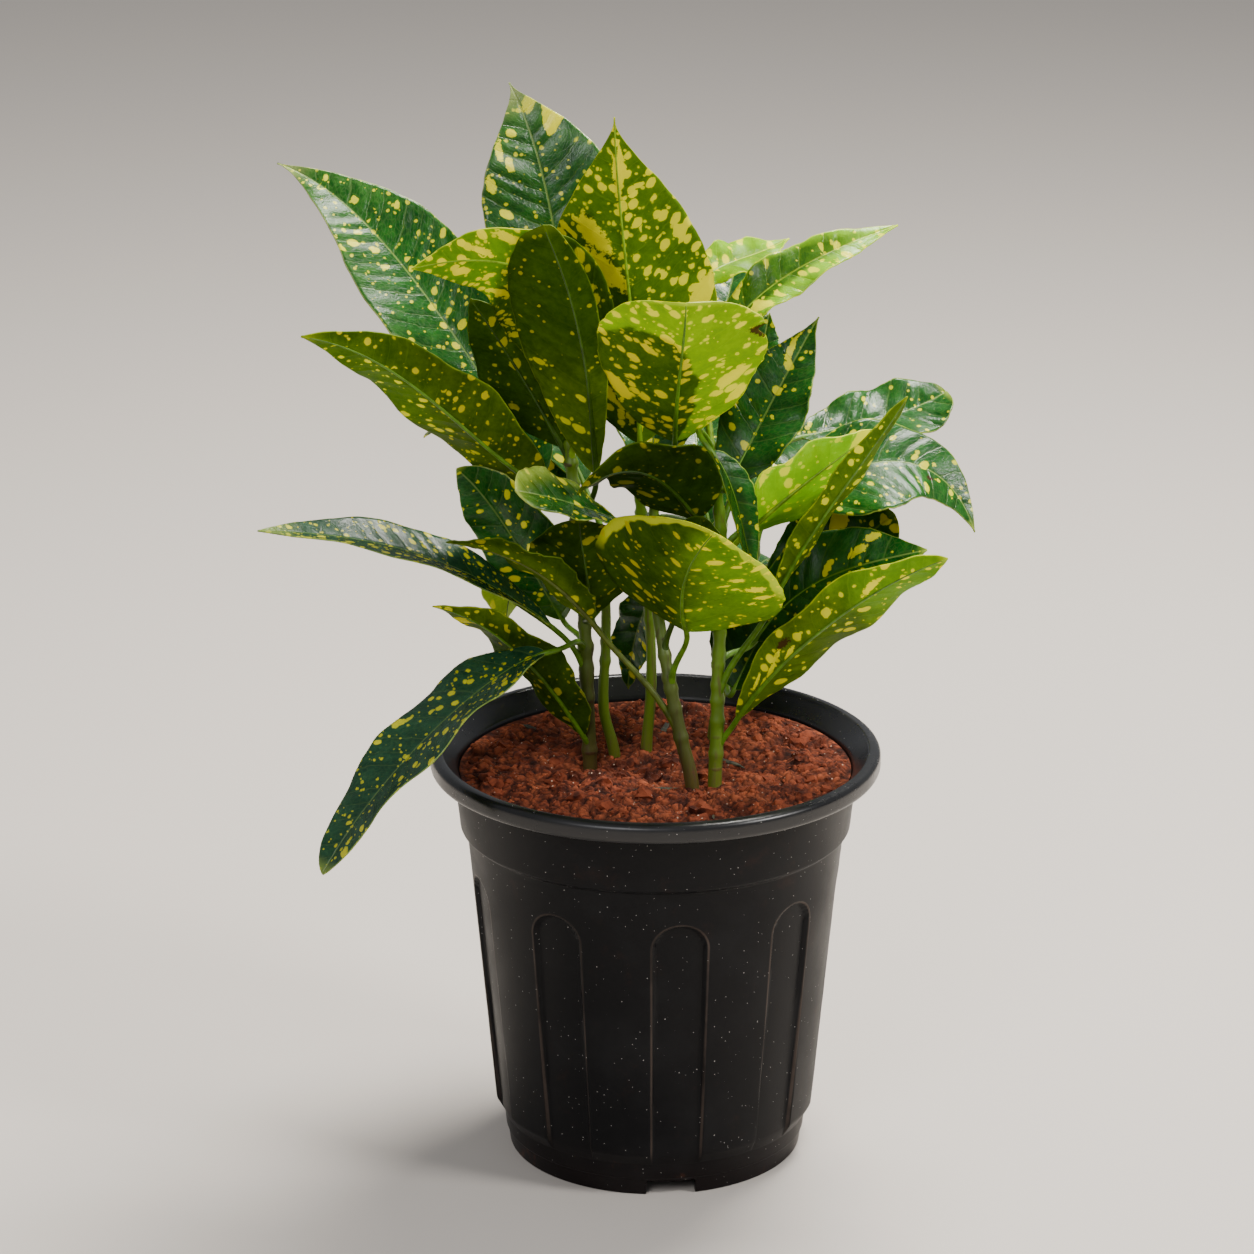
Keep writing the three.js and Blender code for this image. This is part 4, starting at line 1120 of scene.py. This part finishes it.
def ribDirection(rib, t):
    return (ribPoint(rib, t + 0.001) - ribPoint(rib, t - 0.001)).normalized()


def fullness(t, leaf):
    # half the width at a share of the length, as a share of the widest
    a, b = leaf["baseFullness"], leaf["tipTaper"]
    widest = a / (a + b)
    full = (t / widest) ** a * ((1 - t) / (1 - widest)) ** b
    return full * (1 - leaf["neck"] * math.exp((t - 1) / blade["neckLength"]))


def bladeSides(leaf, t):
    along = ribDirection(leaf["rib"], t)
    upwards = (leaf["face"] - along * leaf["face"].dot(along)).normalized()
    return along.cross(upwards), upwards


def veinPhase(length, across, seed):
    # where a point lies between side veins, which leave the rib on a slope and bend to the tip
    along = length - blade["veinSlope"] * abs(across) - blade["veinBend"] * across * across
    uneven = blade["veinUneven"] * math.sin(along * 0.23 + seed)
    right = blade["veinStagger"] if across > 0 else 0
    return along / blade["veinSpacing"] + seed * blade["veinStart"] + uneven + right


def halfWidth(leaf, s, t, share, seed):
    # s is the share across, from -1 to 1, and t the share along
    edge = leaf["teeth"] * noise.noise(Vector((t * 26, s * 3, seed)))
    edge += 0.5 * leaf["teeth"] * math.sin(t * 60 + seed)
    half = max(share * leaf["width"] / 2 + edge * min(1, 4 * share), blade["tipHalfWidth"])
    half *= 1 + leaf["lean"] * (1 if s > 0 else -1)
    if leaf["nick"] and s * leaf["nick"][1] > 0:
        half -= leaf["nick"][2] * math.exp(-((t - leaf["nick"][0]) / leaf["nick"][3]) ** 2)
    return half


def bladeLift(leaf, s, t, share, half, length, seed):
    # fold and waves, then the swell between veins, a turned rim and an uneven surface
    turn = 2 * math.pi * blade["waves"] * t + (0 if s < 0 else blade["rightWaveShift"])
    lift = half * abs(s) * math.sin(math.radians(leaf["fold"]))
    lift += leaf["wave"] * share * s * s * math.sin(turn)
    pillow = abs(math.sin(math.pi * veinPhase(length, half * s, seed))) ** 0.7 - 0.5
    fade = min(1, abs(s) * 5) * (1 - abs(s) ** 6) * min(1, share * 2)
    fade *= 0.75 + 1.1 * noise.noise(Vector((s * 1.7, length / 21, seed * 1.1)))
    lift += blade["quilt"] * leaf["quilt"] * pillow * fade
    lift -= leaf["curl"] * smoothStep(abs(s), 0.72, 1) * smoothStep(t, 0.35, 0.6) * min(1, share * 1.5)
    return lift + blade["uneven"] * noise.noise(Vector((s * 1.4, t * 4, seed * 2.3))) * abs(s) * share


def makeBlade(name, leaf, seed):
    bpy.ops.mesh.primitive_grid_add(x_subdivisions=blade["across"], y_subdivisions=blade["along"], size=2)
    piece = bpy.context.object
    piece.name = name
    mesh = piece.data
    rib, steps = leaf["rib"], blade["lengthSteps"]
    reach = [0.0]
    for i in range(steps):
        reach.append(reach[-1] + (ribPoint(rib, (i + 1) / steps) - ribPoint(rib, i / steps)).length)
    shares, places = [], []
    for vertex in mesh.vertices:
        s, t = vertex.co.x, (vertex.co.y + 1) / 2
        s = math.copysign(abs(s) ** 0.9, s)
        sideways, upwards = bladeSides(leaf, t)
        share = min(1.0, fullness(min(max(t, 0), 1), leaf))
        half = halfWidth(leaf, s, t, share, seed)
        across, length = half * s, reach[int(t * steps)]
        lift = bladeLift(leaf, s, t, share, half, length, seed)
        flat = across * math.cos(math.radians(leaf["fold"]))
        vertex.co = (ribPoint(rib, t) + sideways * flat + upwards * lift + potAxis) * mm
        shares.append((s / 2 + 0.5, t))
        places.append((across / 10, length / 10))  # centimetres
    for label, values in (("leafPlace", places), ("leafShare", shares)):
        layer = mesh.uv_layers.new(name=label)
        for loop in mesh.loops:
            layer.data[loop.index].uv = values[loop.vertex_index]
    upper = len(mesh.polygons)
    pick(piece)
    sheet = piece.modifiers.new("thickness", "SOLIDIFY")
    sheet.thickness = blade["thickness"] * mm
    sheet.offset = 0
    bpy.ops.object.modifier_apply(modifier=sheet.name)
    bpy.ops.object.shade_smooth()
    # 0 on the upper side, 1 on the underside and 0.5 on the edge between
    side = mesh.attributes.new("underside", "FLOAT", "FACE")
    side.data.foreach_set("value", [0.0] * upper + [1.0] * upper + [0.5] * (len(mesh.polygons) - 2 * upper))
    return piece


def stalkLine(leaf):
    # from inside the stem along the stalk, then under the blade as its rib
    rib = leaf["rib"]
    seat, stemwise = stemSeat(leaf["stem"], leaf["at"])
    bend = (rib[0] - seat).length * blade["stalkBend"]
    outward = ((rib[0] - seat).normalized() + stemwise).normalized()
    p1, p2 = seat + outward * bend, rib[0] - ribDirection(rib, 0) * bend
    line, radii = [], []
    for i in range(16):
        t = i / 16
        line.append(
            seat * (1 - t) ** 3 + p1 * 3 * t * (1 - t) ** 2 + p2 * 3 * t * t * (1 - t) + rib[0] * t ** 3)
        radii.append(blade["ribBase"] + (blade["stalkFoot"] - blade["ribBase"]) * (1 - t) ** 3)
    for i in range(40):
        t = i / 40
        radius = blade["ribBase"] + (blade["ribTip"] - blade["ribBase"]) * t ** 0.8
        upwards = bladeSides(leaf, t)[1]
        line.append(ribPoint(rib, t) - upwards * (radius * 0.55 * min(1, t * 10)))
        radii.append(radius)
    return line, radii


def makeVeinGroup():
    # the same veins as in veinPhase, in centimetres
    group, given, out = newGroup("sideVeins", ("Place", "Seed"), ("Along", "Vein", "Pillow", "Rib", "Net"))
    place = split(given["Place"])
    across = calc("ABSOLUTE", place[0])
    slope = times(across, blade["veinSlope"])
    bend = times(across, across, blade["veinBend"] * 10)
    along = minus(minus(place[1], slope), bend)
    right = times(calc("GREATER_THAN", place[0], 0.0), blade["veinStagger"])
    uneven = times(calc("SINE", plus(times(along, 2.3), given["Seed"])), blade["veinUneven"])
    start = times(given["Seed"], blade["veinStart"])
    phase = plus(over(along, blade["veinSpacing"] / 10), start, right, uneven)
    saw = calc("ABSOLUTE", minus(calc("FRACT", phase), 0.5))
    gap = times(minus(0.5, saw), blade["veinSpacing"] / 10)
    net = cells(combine(times(along, 5.5), times(place[0], 3.5), given["Seed"]), 1.0, "DISTANCE_TO_EDGE")
    feed(out, {
        "Along": along,
        "Vein": ramp(gap, 0.012, 0.05, 1.0, 0.0),
        "Pillow": ramp(gap, 0.0, blade["veinSpacing"] / 22),
        "Rib": ramp(across, 0.03, 0.065, 1.0, 0.0),
        "Net": ramp(net["Distance"], 0.0, 0.12, 1.0, 0.0),
    })
    return group


def makeSpotGroup():
    # cells that hold a ragged oval each: its mask, a wider halo, and a tint that differs from spot to spot
    group, given, out = newGroup(
        "spotLayer",
        ("Along", "Across", "Seed", "Size", "Stretch", "Amount", "Smallest", "Largest", "Ragged"),
        ("Mask", "Halo", "Tint"),
    )
    x = over(given["Along"], given["Size"])
    y = over(over(given["Across"], given["Size"]), given["Stretch"])
    base = combine(x, y, times(given["Seed"], 3.7))
    wobble = shift(cloud(base, 2.6, 3, 0.6)["Color"], (0.5, 0.5, 0.5), "SUBTRACT")
    ragged = combine(given["Ragged"], given["Ragged"], 0.0)
    spot = cells(shift(base, shift(wobble, ragged, "MULTIPLY")), 1.0)
    chance = split(spot["Color"])
    drift = cloud(shift(base, (17.3, 4.1, 0.0)), 0.35, 2)["Fac"]
    amount = times(given["Amount"], ramp(drift, 0.35, 0.65, 0.55, 1.45))
    shown = calc("GREATER_THAN", minus(chance[0], minus(1.0, amount)), 0.0)
    span = minus(given["Largest"], given["Smallest"])
    radius = plus(given["Smallest"], times(calc("POWER", chance[1], 1.2), span))
    blur = over(0.018, given["Size"])
    inner = minus(radius, blur)
    feed(out, {
        "Mask": times(ramp(spot["Distance"], inner, plus(radius, blur), 1.0, 0.0), shown),
        "Halo": times(ramp(spot["Distance"], inner, plus(radius, 0.22), 1.0, 0.0), shown),
        "Tint": times(chance[2], shown),
    })
    return group


veinGroup = makeVeinGroup()
spotGroup = makeSpotGroup()


def leafMaterial(name, leaf, seed):
    material, shader = newMaterial(name + "Skin")
    place = uvPlace("leafPlace")  # centimetres from the rib and along it
    across, upward = split(place)[0:2]
    share = split(uvPlace("leafShare"))
    around = minus(times(share[0], 2.0), 1.0)  # -1 and 1 at the two margins
    under = attribute("underside")
    veins = placeGroup(veinGroup, {"Place": place, "Seed": float(seed)})
    patch = cloud(shift(place, (0.0, 0.0, seed * 1.9)), 1.1, 4, 0.55)["Fac"]
    mottle = cloud(shift(place, (3.1, 7.7, seed * 1.3)), 5.5, 5, 0.62)["Fac"]

    def spots(size, amount, **others):
        return placeGroup(spotGroup, {
            "Along": veins["Along"], "Across": across, "Seed": float(seed), "Stretch": leaf["stretch"],
            "Size": size * leaf["spotSize"], "Amount": leaf[amount], **others})

    def away(along, t, s, reachAlong, reachAcross):
        # 0 in the middle of an oval and 1 at its edge
        return hypotenuse(over(minus(along, t), reachAlong), over(minus(around, s), reachAcross))

    def look(part):
        inner, outer = looks[leaf["inner"]][part], looks[leaf["outer"]][part]
        return inner if inner == outer else blendColour(outside, inner, outer)

    leaning = times(plus(upward, veins["Along"]), 0.5)
    dots = spots(0.30, "dots", Along=upward, Stretch=1.1, Smallest=0.13, Largest=0.36, Ragged=0.15)
    ovals = spots(0.54, "spots", Along=leaning, Smallest=leaf["least"], Largest=0.46, Ragged=0.25)
    blots = spots(1.3, "blotches", Smallest=0.2, Largest=0.6, Ragged=0.5)
    mask = most(times(dots["Mask"], 0.85), ovals["Mask"], blots["Mask"])
    halo = most(ovals["Halo"], blots["Halo"])
    tilted = minus(share[1], times(calc("ABSOLUTE", around), 0.2))
    if leaf["patches"]:
        torn = times(cloud(place, 4.5, 4, 0.7)["Fac"], 2.0)
    for t, s, reachAlong, reachAcross in leaf["patches"]:
        near = plus(away(tilted, t - 0.2 * abs(s), s, reachAlong, reachAcross), torn)
        mask = most(mask, ramp(near, 2.06, 1.9, 0.0, 1.0))

    # greens of both sides, with pale veins, then the spots
    # the oval: on most leaves the inner and outer looks are a shaded and a lit copy of one green, painted
    # shade and painted light
    reach = plus(away(share[1], *leaf["oval"]), times(minus(patch, 0.5), 0.3))
    outside = ramp(reach, 1.0 - leaf["soft"], 1.0 + leaf["soft"])
    # tone adds random patches, light halos round spots, mottling, and a lighter swell between veins that
    # paints shade into the vein furrows
    tone = plus(
        ramp(patch, 0.3, 0.7, -0.1, 0.5), times(halo, 0.35),
        ramp(mottle, 0.3, 0.7, -0.25, 0.35), times(veins["Pillow"], 0.3))
    upper = blendColour(tone, look("upperDark"), look("upperLight"))
    lower = blendColour(tone, look("underDark"), look("underLight"))
    green = blendColour(under, upper, lower)
    pale = look("rib")
    green = blendColour(most(times(veins["Net"], 0.12), times(veins["Vein"], 0.26)), green, pale)
    green = blendColour(times(veins["Rib"], 0.8), green, pale)
    faded = blendColour(times(most(ovals["Tint"], blots["Tint"]), 0.2), look("spot"), green)
    colour = blendColour(mask, green, faded)

    # the pale margin, and the pale tip, which is the leaf's own cream tip on some leaves and a painted sheen
    # on the glossy ones
    offRib = calc("ABSOLUTE", across)
    offEdge = minus(over(offRib, most(calc("ABSOLUTE", around), 0.1)), offRib)
    if leaf["curl"]:  # a broad rim turned to the light, with a wavy end
        offEdge = plus(offEdge, times(cloud(place, 0.8, 2)["Fac"], 1.1))
        rim = times(
            ramp(offEdge, leaf["rim"] + 0.08, leaf["rim"] - 0.04, 0.0, 0.85), ramp(share[1], 0.4, 0.55))
        rim = times(rim, minus(1.0, mask))
        # the turned rim is painted in the lit look's margin colour, a painted highlight
        margin = looks["lit"]["margin"]
    else:
        rim = times(ramp(offEdge, 1.4 * leaf["rim"], 0.6 * leaf["rim"]), ramp(patch, 0.35, 0.6, 0.35, 0.95))
        margin = look("margin")
    colour = blendColour(most(rim, ramp(share[1], leaf["tip"], 1.0, 0.0, 0.8)), colour, margin)

    # light that shines through the blade is yellower, and wounds are brown from both sides
    through = blendColour(mask, blendColour(0.2, look("glow"), green), look("spot"))
    for oval in leaf["wounds"]:
        torn = times(cloud(place, 8, 4, 0.7)["Fac"], 2.4)
        hurt = ramp(plus(away(share[1], *oval), torn), 2.3, 2.0, 0.0, 0.9)
        colour, through = [blendColour(hurt, whole, wound) for whole in (colour, through)]

    # veins sink into the upper side and stand out below
    sunk = plus(times(veins["Vein"], 0.5), times(veins["Net"], 0.12), veins["Rib"])
    relief = plus(minus(times(veins["Pillow"], 0.5), sunk), times(cloud(place, 9, 3)["Fac"], 0.3))
    relief = times(relief, ramp(under, 0.0, 1.0, 1.0, -0.7))
    rough = plus(ramp(under, 0.0, 1.0, 0.2, 0.46), times(patch, 0.12))
    paint(shader, colour, rough, ramp(under, 0.0, 1.0, leaf["gloss"], 0.08), bump(relief, 0.5, 0.0005))
    glow = addNode("BsdfTranslucent", {"Color": through})[0]
    both = addNode("MixShader", [blade["glowShare"], shader.outputs[0], glow])[0]
    feed(material.node_tree.nodes["Material Output"].inputs, {"Surface": both})
    return material


def stalkMaterial(kind):
    material, shader = newMaterial(kind + "Stalk")
    streak = cloud(objectPlace(), 260, 3)["Fac"]
    dark = tuple(c * 0.55 for c in stalkColour[kind][:3]) + (1,)
    colour = blendColour(ramp(streak, 0.3, 0.7), dark, stalkColour[kind])
    paint(shader, colour, 0.42, 0.3, bump(streak, 0.25, 0.0004))
    return material


barkMaterials = {kind: barkMaterial(kind) for kind in bark}
stalkMaterials = {kind: stalkMaterial(kind) for kind in stalkColour}


def inWords(name):
    return "".join(word.capitalize() for word in name.split("_"))


def makeLeaf(name, leaf, seed):
    piece = makeBlade("leaf" + inWords(name), leaf, seed)
    stalk = roundBar("stalk" + inWords(name), *stalkLine(leaf))
    piece.data.materials.append(leafMaterial(piece.name, leaf, seed))
    stalk.data.materials.append(stalkMaterials[leaf["stalk"]])
    pick(piece, stalk)
    bpy.ops.object.join()
    finishPiece(piece, "leaf_" + name, "leaf_" + leaf["slot"])


for order, (name, leaf) in enumerate(leaves.items()):
    makeLeaf(name, leaf, order + 1)
print("leaves made:", len(leaves))


def makeStem(name, look):
    # the stem thickens at each stalk and at the old scar below it
    line = stemLine(name)
    stalks = [leaf["at"] for leaf in leaves.values() if leaf["stem"] == name]
    scars = [height - stemShape["scarDrop"] for height in stalks if height > stemShape["scarsAbove"]]
    radii = []
    for i, place in enumerate(line):
        share = i / (len(line) - 1)
        radius = look["foot"] + (look["top"] - look["foot"]) * share
        for height in stalks + scars:
            radius += stemShape["swell"] * math.exp(-((place.z - height) / stemShape["swellReach"]) ** 2)
        radius += stemShape["uneven"] * noise.noise(place * 0.12)
        radii.append(radius if share < 0.985 else radius * 0.7)
    piece = roundBar("stem" + inWords(name), line, radii, 5)
    finishPiece(piece, "stem_" + name, "stem_" + look["bark"], barkMaterials[look["bark"]])


for name, look in stems.items():
    makeStem(name, look)
print("stems made")
